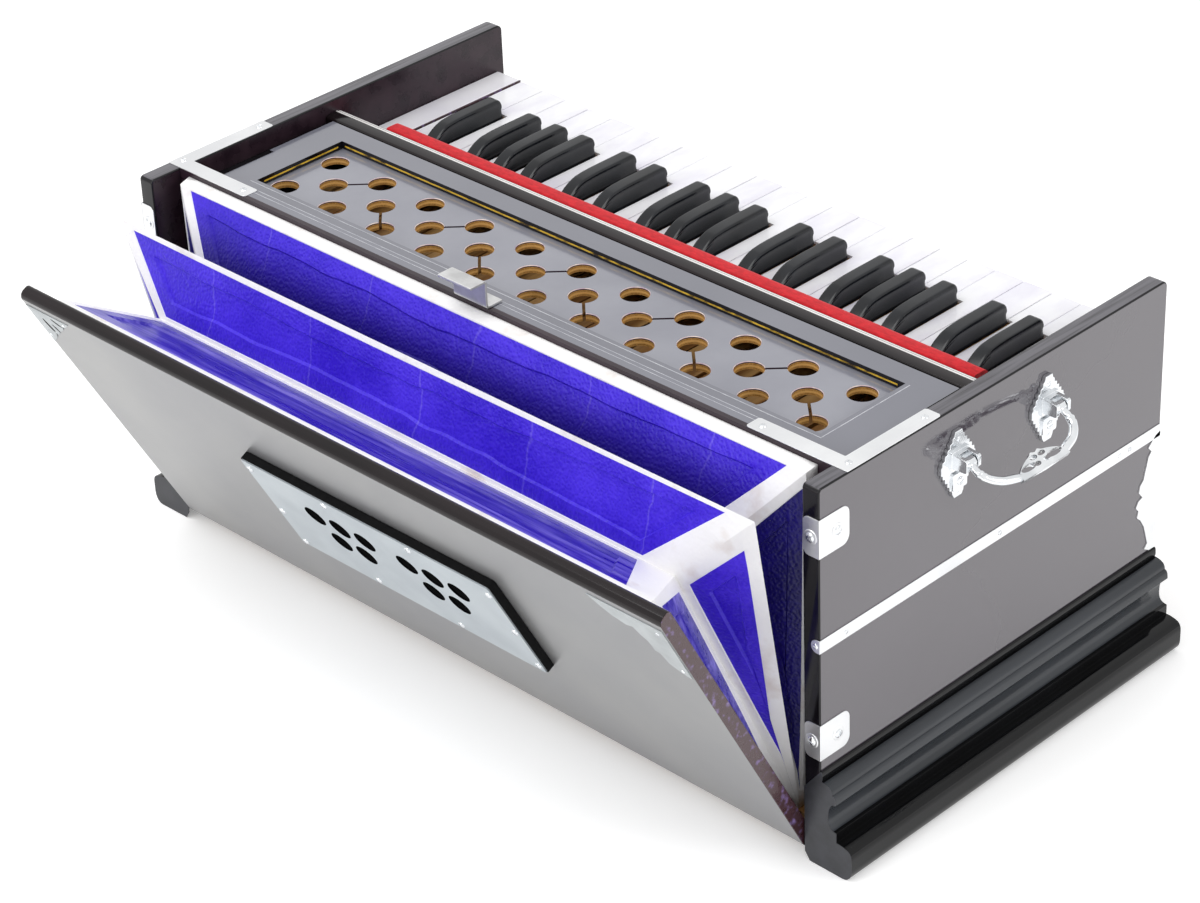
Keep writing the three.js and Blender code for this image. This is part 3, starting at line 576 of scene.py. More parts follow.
def drive_screws(name: str, screws: Sequence[Screw], finish: "Finish", seed: int,
                 place: Matrix = CASE) -> Piece:
    """Make all the screws of one body as one piece.

    Args:
        name: the piece's name.
        screws: where they are.
        finish: what they are made of.
        seed: sets how their slots happen to stand.
        place: from millimetres to the frame's metres.

    Returns:
        The piece.
    """
    points = bmesh.new()
    aim, head = points.verts.layers.float_vector.new("aim"), points.verts.layers.float.new("head")
    for screw in screws:
        point = points.verts.new(screw.centre)
        point[aim], point[head] = screw.aim, screw.radius
    data = bpy.data.meshes.new(name)
    points.to_mesh(data)
    points.free()
    thing = in_scene(name, data)
    run_tree(thing, screw_set_tree(), {"Head": finish.material(), "Seed": seed})
    thing.data.transform(place)
    return smooth_piece(thing)


# Finishes

def linear(code: str) -> tuple[float, float, float, float]:
    """Turn an sRGB hex colour into the linear colour that a shader takes.

    Args:
        code: the colour as #rrggbb.

    Returns:
        Red, green, blue and an alpha of 1.
    """
    values = [int(code[i:i + 2], 16) / 255 for i in (1, 3, 5)]
    red, green, blue = (v / 12.92 if v <= 0.04045 else ((v + 0.055) / 1.055) ** 2.4 for v in values)
    return red, green, blue, 1.0


@dataclass(frozen=True)
class Finish:
    """A surface: its material's colours, gloss and unevenness, with sizes in millimetres."""

    name: str
    colour: str
    roughness: float
    shade: str = ""
    patch: float = 60.0
    stretch: Point3 = (1.0, 1.0, 1.0)
    contrast: Point2 = (0.35, 0.65)
    uneven: float = 0.04
    grain: float = 0.9
    bump: float = 0.0
    metallic: float = 0.0
    ior: float = 1.5
    coat: float = 0.0
    sheen: float = 0.0

    def material(self) -> bpy.types.Material:
        """Make the finish's material, the first time that it is asked for.

        Returns:
            The material.
        """
        if self.name in bpy.data.materials:
            return bpy.data.materials[self.name]
        material = bpy.data.materials.new(self.name)
        material.use_nodes = True
        tree = material.node_tree
        shader = tree.nodes["Principled BSDF"]
        shader.inputs["Metallic"].default_value = self.metallic
        if not self.metallic:
            shader.inputs["IOR"].default_value = self.ior
        shader.inputs["Coat Weight"].default_value = self.coat
        shader.inputs["Coat Roughness"].default_value = 0.06
        shader.inputs["Sheen Weight"].default_value = self.sheen
        place = add_node(tree, "ShaderNodeTexCoord").outputs["Object"]
        colour, worn, relief = self.pattern(tree, place)
        tree.links.new(colour, shader.inputs["Base Color"])
        gloss = add_node(tree, "ShaderNodeMapRange", {
            "To Min": max(0.02, self.roughness - self.uneven), "To Max": self.roughness + self.uneven},
            {"Value": worn})
        tree.links.new(gloss.outputs[0], shader.inputs["Roughness"])
        if self.bump:
            if relief is None:
                relief = add_node(tree, "ShaderNodeTexNoise", {"Scale": 1.0, "Detail": 3.0},
                                  {"Vector": self.stretched(tree, place, self.grain)}).outputs[0]
            raised = add_node(tree, "ShaderNodeBump", {"Strength": 1.0, "Distance": self.bump * MM},
                              {"Height": relief})
            tree.links.new(raised.outputs["Normal"], shader.inputs["Normal"])
        return material

    @property
    def stops(self) -> list[tuple[float, str]]:
        """Return the colour ramp's stops, from the colour to the shade."""
        return list(zip(self.contrast, (self.colour, self.shade or self.colour)))

    def stretched(self, tree: Tree, place: Socket, size: float) -> Socket:
        """Return coordinates in which a feature of a size in millimetres is one unit."""
        scale = tuple(1 / (MM * size * s) for s in self.stretch)
        return add_node(tree, "ShaderNodeMapping", {"Scale": scale}, {"Vector": place}).outputs["Vector"]

    def pattern(self, tree: Tree, place: Socket) -> Pattern:
        """Draw what the surface shows: here clouds of the shade on the colour.

        Args:
            tree: the material's tree.
            place: Object coordinates.

        Returns:
            The colour, the share of gloss lost, and the relief's height or None for a fine noise.
        """
        patches = add_node(tree, "ShaderNodeTexNoise", {"Scale": 1.0, "Detail": 5.0},
                           {"Vector": self.stretched(tree, place, self.patch)})
        colour = add_node(tree, "ShaderNodeValToRGB", {"stops": self.stops}, {"Fac": patches})
        return colour.outputs[0], patches.outputs[0], None


@dataclass(frozen=True)
class Leatherette(Finish):
    """Coated cloth glued on card: pebbled, with pale upright creases and a painted shade low down.

    An empty crease or deep colour leaves that part out; the deep colour is the painted shade.
    """

    crease: str = ""
    crease_pitch: float = 97.0
    crease_width: float = 0.9
    speck: float = 0.3
    # The painted shade low down: its colour, and the heights in millimetres over which it fades out upwards.
    deep: str = ""
    deep_z: Point2 = (222.0, 252.0)

    def pattern(self, tree: Tree, place: Socket) -> Pattern:
        """Draw the grain, the cloudy colour, the creases and the painted shade low down.

        Args:
            tree: the material's tree.
            place: Object coordinates.

        Returns:
            The colour, the share of gloss lost and the relief's height.
        """
        clouds = add_node(tree, "ShaderNodeTexNoise", {"Scale": 1.0, "Detail": 6.0},
                          {"Vector": self.stretched(tree, place, self.patch)})
        pebbles = add_node(tree, "ShaderNodeTexVoronoi", {"feature": "SMOOTH_F1", "Scale": 1.0},
                           {"Vector": self.stretched(tree, place, self.grain)})
        speckled = add_node(tree, "ShaderNodeMath", {"operation": "MULTIPLY_ADD", 1: self.speck},
                            {0: pebbles, 2: clouds})
        level = add_node(tree, "ShaderNodeMath", {"operation": "SUBTRACT", 1: self.speck / 2}, {0: speckled})
        colour = add_node(tree, "ShaderNodeValToRGB", {"stops": self.stops}, {"Fac": level}).outputs[0]
        if self.crease:
            apart = add_node(tree, "ShaderNodeSeparateXYZ", None, {"Vector": place})
            bent = add_node(tree, "ShaderNodeMath", {"operation": "MULTIPLY", 1: 0.02}, {0: clouds})
            along = add_node(tree, "ShaderNodeMath", {"operation": "ADD"}, {0: apart.outputs["X"], 1: bent})
            turn = add_node(tree, "ShaderNodeMath", {"operation": "PINGPONG", 1: self.crease_pitch / 2 * MM},
                            {0: along})
            line = add_node(tree, "ShaderNodeMapRange", {
                "From Min": 0.0, "From Max": self.crease_width * MM, "To Min": 0.4, "To Max": 0.0},
                {"Value": turn})
            broken = add_node(tree, "ShaderNodeMath", {"operation": "MULTIPLY"}, {0: line, 1: clouds})
            colour = add_node(tree, "ShaderNodeMix", {"data_type": "RGBA", 7: linear(self.crease)},
                              {0: broken, 6: colour}).outputs[2]
        # Painted shade: below the lower height the colour turns most of the way to the deep colour, fading out
        # by the upper height.
        if self.deep:
            height = add_node(tree, "ShaderNodeSeparateXYZ", None, {"Vector": place})
            share = add_node(tree, "ShaderNodeMapRange", {
                "From Min": self.deep_z[0] * MM, "From Max": self.deep_z[1] * MM, "To Min": 0.9, "To Max": 0.0},
                {"Value": height.outputs["Z"]})
            colour = add_node(tree, "ShaderNodeMix", {"data_type": "RGBA", 7: linear(self.deep)},
                              {0: share, 6: colour}).outputs[2]
        return colour, clouds.outputs[0], pebbles.outputs["Distance"]


@dataclass(frozen=True)
class Wood(Finish):
    """Planed timber with its growth rings along X."""

    def pattern(self, tree: Tree, place: Socket) -> Pattern:
        """Draw the rings and the fine fibre.

        Args:
            tree: the material's tree.
            place: Object coordinates.

        Returns:
            The colour, the share of gloss lost, and None for a fine noise as relief.
        """
        rings = add_node(tree, "ShaderNodeTexWave", {
            "wave_type": "RINGS", "rings_direction": "X", "Scale": 1.0, "Distortion": 5.0, "Detail": 3.0,
            "Detail Scale": 0.6}, {"Vector": self.stretched(tree, place, self.patch)})
        colour = add_node(tree, "ShaderNodeValToRGB", {"stops": self.stops}, {"Fac": rings.outputs["Fac"]})
        return colour.outputs[0], rings.outputs["Fac"], None


@dataclass(frozen=True)
class Layers(Finish):
    """Sawn edge of plywood: bands across the thickness, under a skin of laminate."""

    band: float = 1.4
    skin: str = "#000000"
    skin_height: float = 0.0

    def pattern(self, tree: Tree, place: Socket) -> Pattern:
        """Draw the veneers and the saw marks.

        Args:
            tree: the material's tree.
            place: Object coordinates.

        Returns:
            The colour, the share of gloss lost, and None for a fine noise as relief.
        """
        apart = add_node(tree, "ShaderNodeSeparateXYZ", None, {"Vector": place})
        rough = add_node(tree, "ShaderNodeTexNoise", {"Scale": 1.0, "Detail": 4.0},
                         {"Vector": self.stretched(tree, place, self.grain)})
        wave = add_node(tree, "ShaderNodeMath", {"operation": "PINGPONG", 1: self.band * MM},
                        {0: apart.outputs["Z"]})
        share = add_node(tree, "ShaderNodeMapRange", {"From Min": 0.0, "From Max": self.band * MM},
                         {"Value": wave})
        mixed = add_node(tree, "ShaderNodeMath", {"operation": "MULTIPLY"}, {0: share, 1: rough})
        colour = add_node(tree, "ShaderNodeValToRGB", {"stops": self.stops}, {"Fac": mixed})
        above = add_node(tree, "ShaderNodeMath", {"operation": "GREATER_THAN", 1: self.skin_height * MM},
                         {0: apart.outputs["Z"]})
        skinned = add_node(tree, "ShaderNodeMix", {"data_type": "RGBA", 7: linear(self.skin)},
                           {0: above, 6: colour.outputs[0]})
        return skinned.outputs[2], rough.outputs[0], None


# High-pressure laminate, dark brown under a glossy pressed skin: it mirrors what is near.
SIDE_LAMINATE = Finish(
    "High-pressure laminate, brown", "#4c464e", 0.06, "#464048", 180, uneven=0.02, grain=1.6, bump=0.002,
    coat=1.0)
# The same laminate on the cover, greyer and with fine scratches.
COVER_LAMINATE = Finish(
    "High-pressure laminate, grey", "#70717c", 0.17, "#676873", 120, uneven=0.05, grain=1.2, bump=0.004,
    coat=0.8)
# A paler sheet of it under the window, dulled by dust.
PIERCED_LAMINATE = Finish(
    "High-pressure laminate, dusty", "#8b8c96", 0.22, "#7f808b", 60, uneven=0.06, grain=1.2, bump=0.004,
    coat=0.7)
# Edging strip on the boards' tops: the same grey, rubbed in streaks along the grain.
TOP_EDGING = Finish(
    "Laminate edging, streaked", "#5a585f", 0.24, "#2f2d33", 2.6, (1.0, 26.0, 1.0), (0.42, 0.7), uneven=0.08,
    grain=1.0, bump=0.01, coat=0.3)
# Black spirit lacquer on planed edges: deep gloss that shows the plane's waves.
BLACK_LACQUER = Finish(
    "Black spirit lacquer", "#0b0a0d", 0.12, "#161419", 25, uneven=0.05, grain=9, bump=0.05, ior=1.38)
# Enamel on the plinth: thicker, so smoother, with a dusty bloom.
PLINTH_ENAMEL = Finish(
    "Black gloss enamel, sprayed", "#050506", 0.1, "#0b0c0e", 60, uneven=0.05, ior=1.34, grain=14, bump=0.03)
# The same enamel on the coves above the foot, greyer: painted highlight bands.
HIGHLIGHT_BAND_ENAMEL = Finish(
    "Black gloss enamel, dusty", "#2c2f33", 0.2, "#383b40", 30, (1.0, 6.0, 1.0), uneven=0.08, ior=1.42,
    grain=14, bump=0.03)
# The same enamel over the sawn end of the moulding, flatter and greyer.
SANDED_ENAMEL = Finish(
    "Black enamel on end grain", "#2e2f33", 0.35, "#3b3c41", 12, uneven=0.1, grain=1.4, bump=0.03, ior=1.42)
# Plywood rubbed with dark red stain: the grain shows as lighter streaks.
STAIN = Finish(
    "Stained plywood, maroon", "#241820", 0.28, "#36272f", 16, (6.0, 1.0, 1.0), uneven=0.1, grain=1.2,
    bump=0.02, ior=1.4)
# Brown lacquer over hardwood: nearly black, with long soft streaks in its shine.
BROWN_GLOSS = Finish(
    "Lacquered hardwood, dark brown", "#0e090b", 0.14, "#1e1618", 14, (12.0, 1.0, 1.0), uneven=0.06, ior=1.37,
    grain=6, bump=0.03)
# Stain that ran over a sawn edge: dark maroon, with small pale mauve blotches that are painted glints.
MAUVE_EDGE_PAINTED_GLINTS = Finish(
    "Stained board edge, mauve", "#42262c", 0.3, "#8a74ad", 5, contrast=(0.55, 0.76), uneven=0.14, grain=1.0,
    bump=0.12, coat=0.3)
# Foil laminate with a metallic print: half mirror, half paint.
SILVER_LAMINATE = Finish(
    "Foil laminate, silver", "#949493", 0.3, "#868689", 170, uneven=0.03, metallic=0.4, grain=0.5, bump=0.003)
# Cast acrylic: glossy, with a faint pearl cloud.
WHITE_PLASTIC = Finish(
    "Acrylic sheet, pearl white", "#f8f8fb", 0.16, "#eae8f2", 22, (1.0, 2.2, 1.0), (0.42, 0.66), uneven=0.05,
    grain=6, bump=0.01)
# Brushed white enamel with a soft waviness.
BLOCK_PAINT = Finish("Enamelled wood, white", "#f0eff3", 0.18, "#e2e0e9", 50, uneven=0.05, grain=8, bump=0.03)
# Phenolic moulding: black, with the fine orange skin of the mould in its gloss.
BLACK_PLASTIC = Finish(
    "Moulded phenolic, black", "#0e1014", 0.18, "#171a1f", 18, uneven=0.06, bump=0.006, ior=1.42)
# Planed pine: yellow-brown, rings drawn along the lever.
KEY_WOOD = Wood(
    "Pine, planed", "#c79c62", 0.55, "#9a6c38", 26, (0.35, 4.0, 1.0), (0.2, 0.8), grain=1.0, bump=0.03)
# Wider pine board, sanded but bare: matt, with long rings.
BARE_WOOD = Wood(
    "Pine board, sanded", "#c3975c", 0.6, "#a0733f", 40, (6.0, 1.0, 1.0), (0.2, 0.85), grain=1.2, bump=0.04)
# Sawn plywood in the sound holes: golden veneers below the dark edge of the laminate.
PLY_WALL = Layers(
    "Plywood edge, golden", "#dfb068", 0.5, "#96662c", 3, contrast=(0.1, 0.55), grain=0.8, bump=0.08,
    skin="#2c1c2c", skin_height=248.5)
# Where the drill lifted the laminate: a pale ragged rim.
PEELED_RIM = Finish(
    "Laminate edge, chipped pale", "#efdccf", 0.5, "#b99fb0", 5, uneven=0.1, grain=0.8, bump=0.05)
# Foil of a warm yellow, rubbed thin here and there.
GOLD_LINE = Finish(
    "Gold foil line", "#f0c43e", 0.32, "#3a2a10", 3, (3.0, 3.0, 1.0), (0.46, 0.66), metallic=0.3, grain=0.8,
    bump=0.01)
# A thin matt line of pale grey: painted highlight along near edges, and the raw core of the laminate where two
# sheets meet.
PALE_JOINT_AND_HIGHLIGHT = Finish("Laminate joint, pale", "#c9cad0", 0.4, "#a9aab2", 9, uneven=0.08, grain=1, bump=0.01)
# Vinyl stringing let into the lacquer: clean and nearly glossy.
WHITE_STRIP = Finish("Vinyl inlay, white", "#f6f5f4", 0.3, "#e4e1e0", 30, uneven=0.06, grain=2, bump=0.01)
# Pressed wool: no shine, short fibres that catch the light on the round of the strip.
RED_FELT = Finish(
    "Wool felt, red", "#e01f2a", 0.92, "#bf1420", 2.2, (2.0, 1.0, 1.0), (0.3, 0.7), uneven=0.05, grain=0.7,
    bump=0.2, sheen=0.18, ior=1.35)
# Leatherette on card: pebbles of about 1.3 mm, drawn a little coarse so that they show.
BLUE_CLOTH = Leatherette(
    "Leatherette, royal blue", "#3212c6", 0.45, "#4e30e6", 40, contrast=(0.3, 0.7), uneven=0.08, grain=1.9,
    bump=0.5, crease="#a99af4", ior=1.42)
# The same cloth in a deep blue: painted shade on the sides of the first two panels, between the folds.
PAINTED_SHADE_CLOTH = replace(
    BLUE_CLOTH, name="Leatherette, deep blue", colour="#120860", roughness=0.42, shade="#1f1286", crease="")
# The same cloth on the roofs of the first two panels, with painted shade that turns it deep blue down in the
# fold.
SHADED_CLOTH = replace(BLUE_CLOTH, name="Leatherette, blue to deep", deep="#140866")
# The panel next to the board: glossy deep blue, with pale violet streaks painted in as sheen.
SHEEN_STREAKED_CLOTH = Leatherette(
    "Leatherette, rubbed", "#2c18a4", 0.3, "#8e82e2", 7, (14.0, 1.0, 1.0), contrast=(0.42, 0.78), uneven=0.1,
    grain=2.2, bump=0.14)
# Thin sheepskin: white, soft gloss, shallow creases and random clouds of taupe.
TAPE = Leatherette(
    "Sheepskin tape, white", "#f9f8f8", 0.45, "#dcd0c8", 26, contrast=(0.58, 0.82), uneven=0.06, grain=2.6,
    bump=0.2, speck=0.04)
# Bright nickel over pressed steel: a mirror that is slightly dimpled.
NICKEL = Finish(
    "Nickel-plated steel", "#eceef0", 0.2, "#d9dcdf", 12, uneven=0.08, metallic=1.0, grain=3, bump=0.02)
# Zinc-plated strip with the dull grey of handling.
DULL_STEEL = Finish(
    "Zinc-plated steel", "#dcdcdc", 0.42, "#c4c4c4", 10, uneven=0.08, metallic=1.0, grain=2, bump=0.02)
# Thin tinned sheet, cut by hand: bright, a little wavy, with cloudy wear.
TINPLATE = Finish(
    "Tinplate, polished", "#f0f1f2", 0.3, "#e2e3e5", 40, uneven=0.06, metallic=0.9, grain=3.2, bump=0.008)
# The same sheet on the board, dulled by hands.
DULL_TIN = Finish(
    "Tinplate, dull", "#b9bec0", 0.36, "#a7acae", 20, uneven=0.06, metallic=0.5, grain=2.4, bump=0.02)
# Satin sheet under clear varnish, so it is cool and nearly white.
VENT_SHEET = Finish("Aluminium sheet, satin", "#bcc4c9", 0.36, "#b0b8be", 40, metallic=0.5, bump=0.004)
# Closed-cell foam: matt, full of small pits.
GASKET = Finish("Foam rubber, black", "#070708", 0.8, "#121213", 4, uneven=0.1, bump=0.15, ior=1.25)
# Chamois dyed dark: its nap drinks the light.
FLAP_LEATHER = Finish("Chamois leather, dark", "#171214", 0.8, "#241c1e", 8, bump=0.1)
# Cast resin, turned and polished: creamy, with faint clouds under the gloss.
KNOB_PLASTIC = Finish("Cast resin, ivory", "#ece7dc", 0.22, "#ded6c6", 9, uneven=0.05, grain=4, bump=0.01)
# Flesh side of a pale sheepskin: dull buff with a fine nap.
PALLET_LEATHER = Finish("Sheepskin, buff", "#d9c7a2", 0.85, "#c4ad83", 6, grain=0.8, bump=0.1)


# Sub-assemblies

@dataclass(frozen=True)
class Case:
    """Side boards, plinths, base, rear wall, front board and end blocks."""

    inside: float = 287.2
    panel_inner: float = 287.5
    panel_outer: float = 300.0
    front: float = -161.5
    rear: float = 161.5
    top: float = 265.0
    foot: float = 10.0
    base_y: Point2 = (-155.5, 150.2)
    base_z: Point2 = (10.0, 22.0)
    wall_y: Point2 = (124.0, 137.0)
    wall_stain: float = 133.5
    wall_low: float = 22.3
    airway_radius: float = 14.0
    airways: tuple[float, ...] = (-165.0, -55.0, 55.0, 165.0)
    airway_z: float = 140.0
    board_y: Point2 = (-130.0, -118.0)
    board_top: float = 205.0
    block_x: Point2 = (263.85, 287.2)
    block_y: Point2 = (-155.0, -18.4)
    block_top: float = 230.9
    block_lining: float = 0.7
    stop_x: tuple[float, ...] = (-184.0, -92.0, 0.0, 92.0, 184.0)
    stop_z: float = 112.0
    stop_hole: float = 4.3
    # Heights in millimetres of the plinth's coves that get the painted highlight bands.
    highlight_band_z: Point2 = (31.2, 63.2)

    def build(self) -> None:
        """Make the wooden parts of the case."""
        for end in End:
            self.side_board(end)
            self.plinth(end)
        base = Shape().block((-self.inside, self.inside), self.base_y, self.base_z)
        put(base.piece("base_board", [BARE_WOOD], bevel=0.8), "case", "black_gloss", "base")
        self.rear_wall()
        self.front_board()

    def side_board(self, end: End) -> None:
        """Make one side board: laminate outside and on top, lacquered ends, stained inside.

        Args:
            end: the end where it stands.
        """
        laminate, stain, lacquer = 0, 1, 2
        outline = rounded([(self.front, self.foot, 1.0), (self.rear, self.foot, 1.0),
                           (self.rear, self.top, 3.0), (self.front, self.top, 4.5)])
        faces = (stain, laminate) if end is End.TREBLE else (laminate, stain)
        board = Shape().prism(outline, Axis.X, *end.span(self.panel_inner, self.panel_outer), lacquer, faces)
        thing = board.piece(end.named("side_board"), [SIDE_LAMINATE, STAIN, BLACK_LACQUER], bevel=1.1)
        thing.modifiers["Broken edges"].material = lacquer
        dress_faces(thing, TOP_EDGING, lambda normal, at: normal.z > 0.9)
        put(thing, "case", "case_laminate", end.named("side_panel"))

    def plinth(self, end: End) -> None:
        """Make the moulding along the foot of one side board.

        Args:
            end: the end where it stands.
        """
        out = self.panel_outer
        steps = [((0.3, 70.4), None), ((1.7, 67.2), (1.6, 70.4)), ((1.0, 63.4), (1.8, 64.0)),
                 ((9.5, 57), (9.5, 63)), ((12, 51), (12, 57)), ((6, 38), (6, 51)),
                 ((12.5, 31), (6, 31)), ((12.5, 24), None), ((19.6, 23.0), (16.5, 24.0)),
                 ((24.4, 16), (24.4, 22)), ((24.4, 9), None), ((17, 0), (24.2, 0.4)), ((1, 0), None)]
        profile: list[Point2] = []
        for (a, b), control in steps:
            here = (out + a, b)
            if control is None:
                profile.append(here)
            else:
                profile += quadratic(profile[-1], (out + control[0], control[1]), here)
        outline = [(self.panel_inner + 0.1, 54.0), *profile[1:-1], (self.panel_inner + 4, 0.3),
                   (self.panel_inner + 0.1, 6.0)]
        cap = Shape().prism(mirrored(outline, end), Axis.Y, self.rear + 0.05, self.rear + 0.4)
        put(cap.piece(end.named("plinth_end"), [SANDED_ENAMEL]), "case", "black_gloss")
        tongue = self.inside - 7
        profile += [(self.inside, 9.2), (tongue, 9.2), (tongue, 9.6), (out + 0.3, 9.6)]
        moulding = Shape().prism(mirrored(profile, end), Axis.Y, self.front, self.rear)
        thing = moulding.piece(end.named("plinth"), [PLINTH_ENAMEL], bevel=0.5)
        # The coves above the foot get the greyer enamel of the painted highlight bands.
        low, high = (MM * z for z in self.highlight_band_z)
        dress_faces(thing, HIGHLIGHT_BAND_ENAMEL, lambda normal, at: low < at.z < high)
        put(thing, "case", "black_gloss", "base")

    def rear_wall(self) -> None:
        """Make the wall behind the cover, with its air holes."""
        front, rear = self.wall_y
        outline = [(front, self.wall_low), (rear, self.wall_low), (rear, self.top), (self.wall_stain, self.top),
                   (front, self.top)]
        cuts = bores([(x, self.airway_z) for x in self.airways], (front + rear) / 2, self.airway_radius,
                     2 * (rear - front))
        wall = Shape().prism(outline, Axis.X, -self.inside, self.inside)
        thing = wall.piece("rear_wall_board", [STAIN], cuts=cuts, wall=BARE_WOOD)
        seam = (CASE @ Vector((0, self.wall_stain, 0))).y
        dress_faces(thing, COVER_LAMINATE, lambda normal, at: normal.z > 0.9 and at.y < seam)
        put(thing, "case", "case_laminate", "rear_wall")

    def front_board(self) -> None:
        """Make the board under the keys and the white block at each end of the keyboard."""
        front, rear = self.board_y
        cuts = bores([(x, self.stop_z) for x in self.stop_x], (front + rear) / 2, self.stop_hole,
                     3 * (rear - front))
        board = Shape().block((-self.inside, self.inside), self.board_y, (self.wall_low, self.board_top))
        thing = board.piece("front_board_panel", [SIDE_LAMINATE], cuts=cuts, wall=BARE_WOOD, bevel=0.6)
        put(thing, "case", "case_laminate", "front_board")
        inner, outer = self.block_x
        z = (self.board_top + 0.1, self.block_top)
        for end in End:
            block = Shape().block(end.span(inner + self.block_lining, outer), self.block_y, z)
            put(block.piece(end.named("end_block"), [BLOCK_PAINT], bevel=1.2), "case", "ivory_plastic",
                "front_board")
            x = end.span(inner, inner + self.block_lining - 0.05)
            lining = Shape().block(x, self.block_y, (z[0], z[1] - 0.3))
            # The lining has the same maroon stain with painted glints.
            put(lining.piece(end.named("block_lining"), [MAUVE_EDGE_PAINTED_GLINTS]), "case", "black_gloss")


@dataclass(frozen=True)
class TopCover:
    """Cover with its window, the pierced panel, the nosing, the felt and the bracket."""

    top: float = 255.5
    under: float = 250.0
    frame_under: float = 246.0
    face_half: float = 277.3
    notch_half: float = 273.1
    notch_y: float = 68.0
    rear: float = 123.7
    inside: float = 287.2
    window_half: float = 249.6
    window_y: Point2 = (27.0, 103.0)
    seat: float = 8.3
    panel_half: float = 257.6
    panel_y: Point2 = (19.0, 111.0)
    panel_z: Point2 = (244.2, 249.7)
    hole_radius: float = 9.5
    hole_pitch: float = 23.43
    hole_shift: float = 2.7
    hole_rows: tuple[float, float, float] = (45.0, 67.5, 90.0)
    columns_aside: int = 10
    slit: float = 2.0
    front: float = 10.5
    nosing_rear: float = 8.4
    nosing_shape: tuple[Point2, ...] = (
        (8.4, 254.6), (7.4, 255.6), (4.5, 256.05), (0.0, 256.1), (-2.2, 255.7), (-6.2, 254.5), (-7.5, 251.5),
        (-11.0, 247.2), (-17.0, 244.2), (-20.8, 242.6), (-21.9, 241.2), (-21.9, 232.35), (-16.4, 232.35),
        (-16.4, 239.0), (0.1, 246.2), (0.1, 250.1))
    inlays: tuple[Point2, ...] = ((-0.9, -2.9), (-3.6, -5.4))
    felt_half: float = 261.0
    felt_y: Point2 = (-37.0, -22.2)
    felt_z: Point2 = (232.3, 243.2)

    def build(self) -> None:
        """Make the cover and what lies on it."""
        self.face()
        self.pierced_panel()
        self.nosing()
        self.felt()
        self.bracket()
        self.lines()

    def face(self) -> None:
        """Make the laminated face with its window, and the frame below it."""
        outline = [(self.face_half, self.front), (self.face_half, self.notch_y),
                   (self.notch_half, self.notch_y), (self.notch_half, self.rear), (-self.face_half, self.rear),
                   (-self.face_half, self.front)]
        (front, rear), depth = self.window_y, 30.0
        window, seat = (
            Cut((0, (front + rear) / 2, z), (2 * (self.window_half + grow), rear - front + 2 * grow, depth),
                kind=CutKind.SQUARE)
            for z, grow in ((self.top, 0.0), (self.under, self.seat)))
        board = Shape().prism(outline, Axis.Z, self.under + 0.02, self.top, 0)
        thing = board.piece("cover_face", [BLACK_LACQUER], cuts=[window], wall=BLACK_LACQUER)
        dress_faces(thing, COVER_LAMINATE, lambda normal, at: normal.z > 0.9)
        put(thing, "case", "cover_laminate", "top_cover")
        under = Shape().block((-self.inside, self.inside), (0.2, self.rear), (self.frame_under, self.under))
        thing = under.piece("cover_under_frame", [BLACK_LACQUER], cuts=[seat])
        put(thing, "case", "cover_laminate", "top_cover")

    def hole(self, column: int, row: int) -> Point2:
        """Return the middle of a sound hole; rows run from -1 to 1 towards the rear wall."""
        return self.hole_shift + (self.columns_aside - column) * self.hole_pitch, self.hole_rows[row + 1]

    def pierced_panel(self) -> None:
        """Make the panel with its sound holes, some pairs joined by a sawn slit."""
        low, high = self.panel_z
        middle, depth = (low + high) / 2, 3 * (high - low)
        rim_depth, rim_grow = 0.5, 0.7
        cuts = []
        for column in range(2 * self.columns_aside + 1):
            odd = column % 2 == 1
            for row in ((0,) if odd else (-1, 1)):
                x, y = self.hole(column, row)
                cuts.append(Cut((x, y, middle), (self.hole_radius, self.hole_radius, depth)))
                outer = self.hole_radius + rim_grow
                cuts.append(Cut((x, y, high - rim_depth), (outer, outer, 1.0), kind=CutKind.RIM))
            if odd:
                (x0, y0), (x1, y1) = self.hole(column, 0), self.hole(column + 1, -1 if column % 4 == 1 else 1)
                cuts.append(Cut(((x0 + x1) / 2, (y0 + y1) / 2, middle),
                                (math.hypot(x1 - x0, y1 - y0), self.slit, depth),
                                (0.0, 0.0, math.atan2(y1 - y0, x1 - x0)), CutKind.SQUARE))
        panel = Shape().block((-self.panel_half, self.panel_half), self.panel_y, self.panel_z)
        thing = panel.piece("sound_panel", [PIERCED_LAMINATE], cuts=cuts, wall=PLY_WALL, rim=PEELED_RIM)
        put(thing, "case", "cover_laminate", "pierced_panel")

    def nosing(self) -> None:
        """Make the nosing, the fascia below it and the two white inlays round its edge."""
        outline = [(self.nosing_rear, 250.1), *self.nosing_shape]
        nose = Shape().prism(outline, Axis.X, -self.inside, self.inside)
        put(nose.piece("cover_nosing", [BROWN_GLOSS], bevel=0.25), "case", "cover_laminate", "top_cover")
        strips = Shape()
        for rear, front in self.inlays:
            knots = [y for y, _ in self.nosing_shape[2:7] if front < y < rear]
            top = [(y, self.nosing_height(y)) for y in (rear, *knots, front)]
            upper = [(y, z + 0.1) for y, z in top]
            lower = [(y, z - 0.4) for y, z in reversed(top)]
            strips.prism(upper + lower, Axis.X, -self.inside, self.inside)
        put(strips.piece("fascia_inlays", [WHITE_STRIP]), "case", "cover_laminate")

    def nosing_height(self, y: float) -> float:
        """Return the height of the nosing's top.

        Args:
            y: the place across it.

        Returns:
            The height there.
        """
        for (y0, z0), (y1, z1) in zip(self.nosing_shape, self.nosing_shape[1:]):
            if y1 <= y <= y0:
                return z0 + (z1 - z0) * (y - y0) / (y1 - y0)
        return self.nosing_shape[0][1]

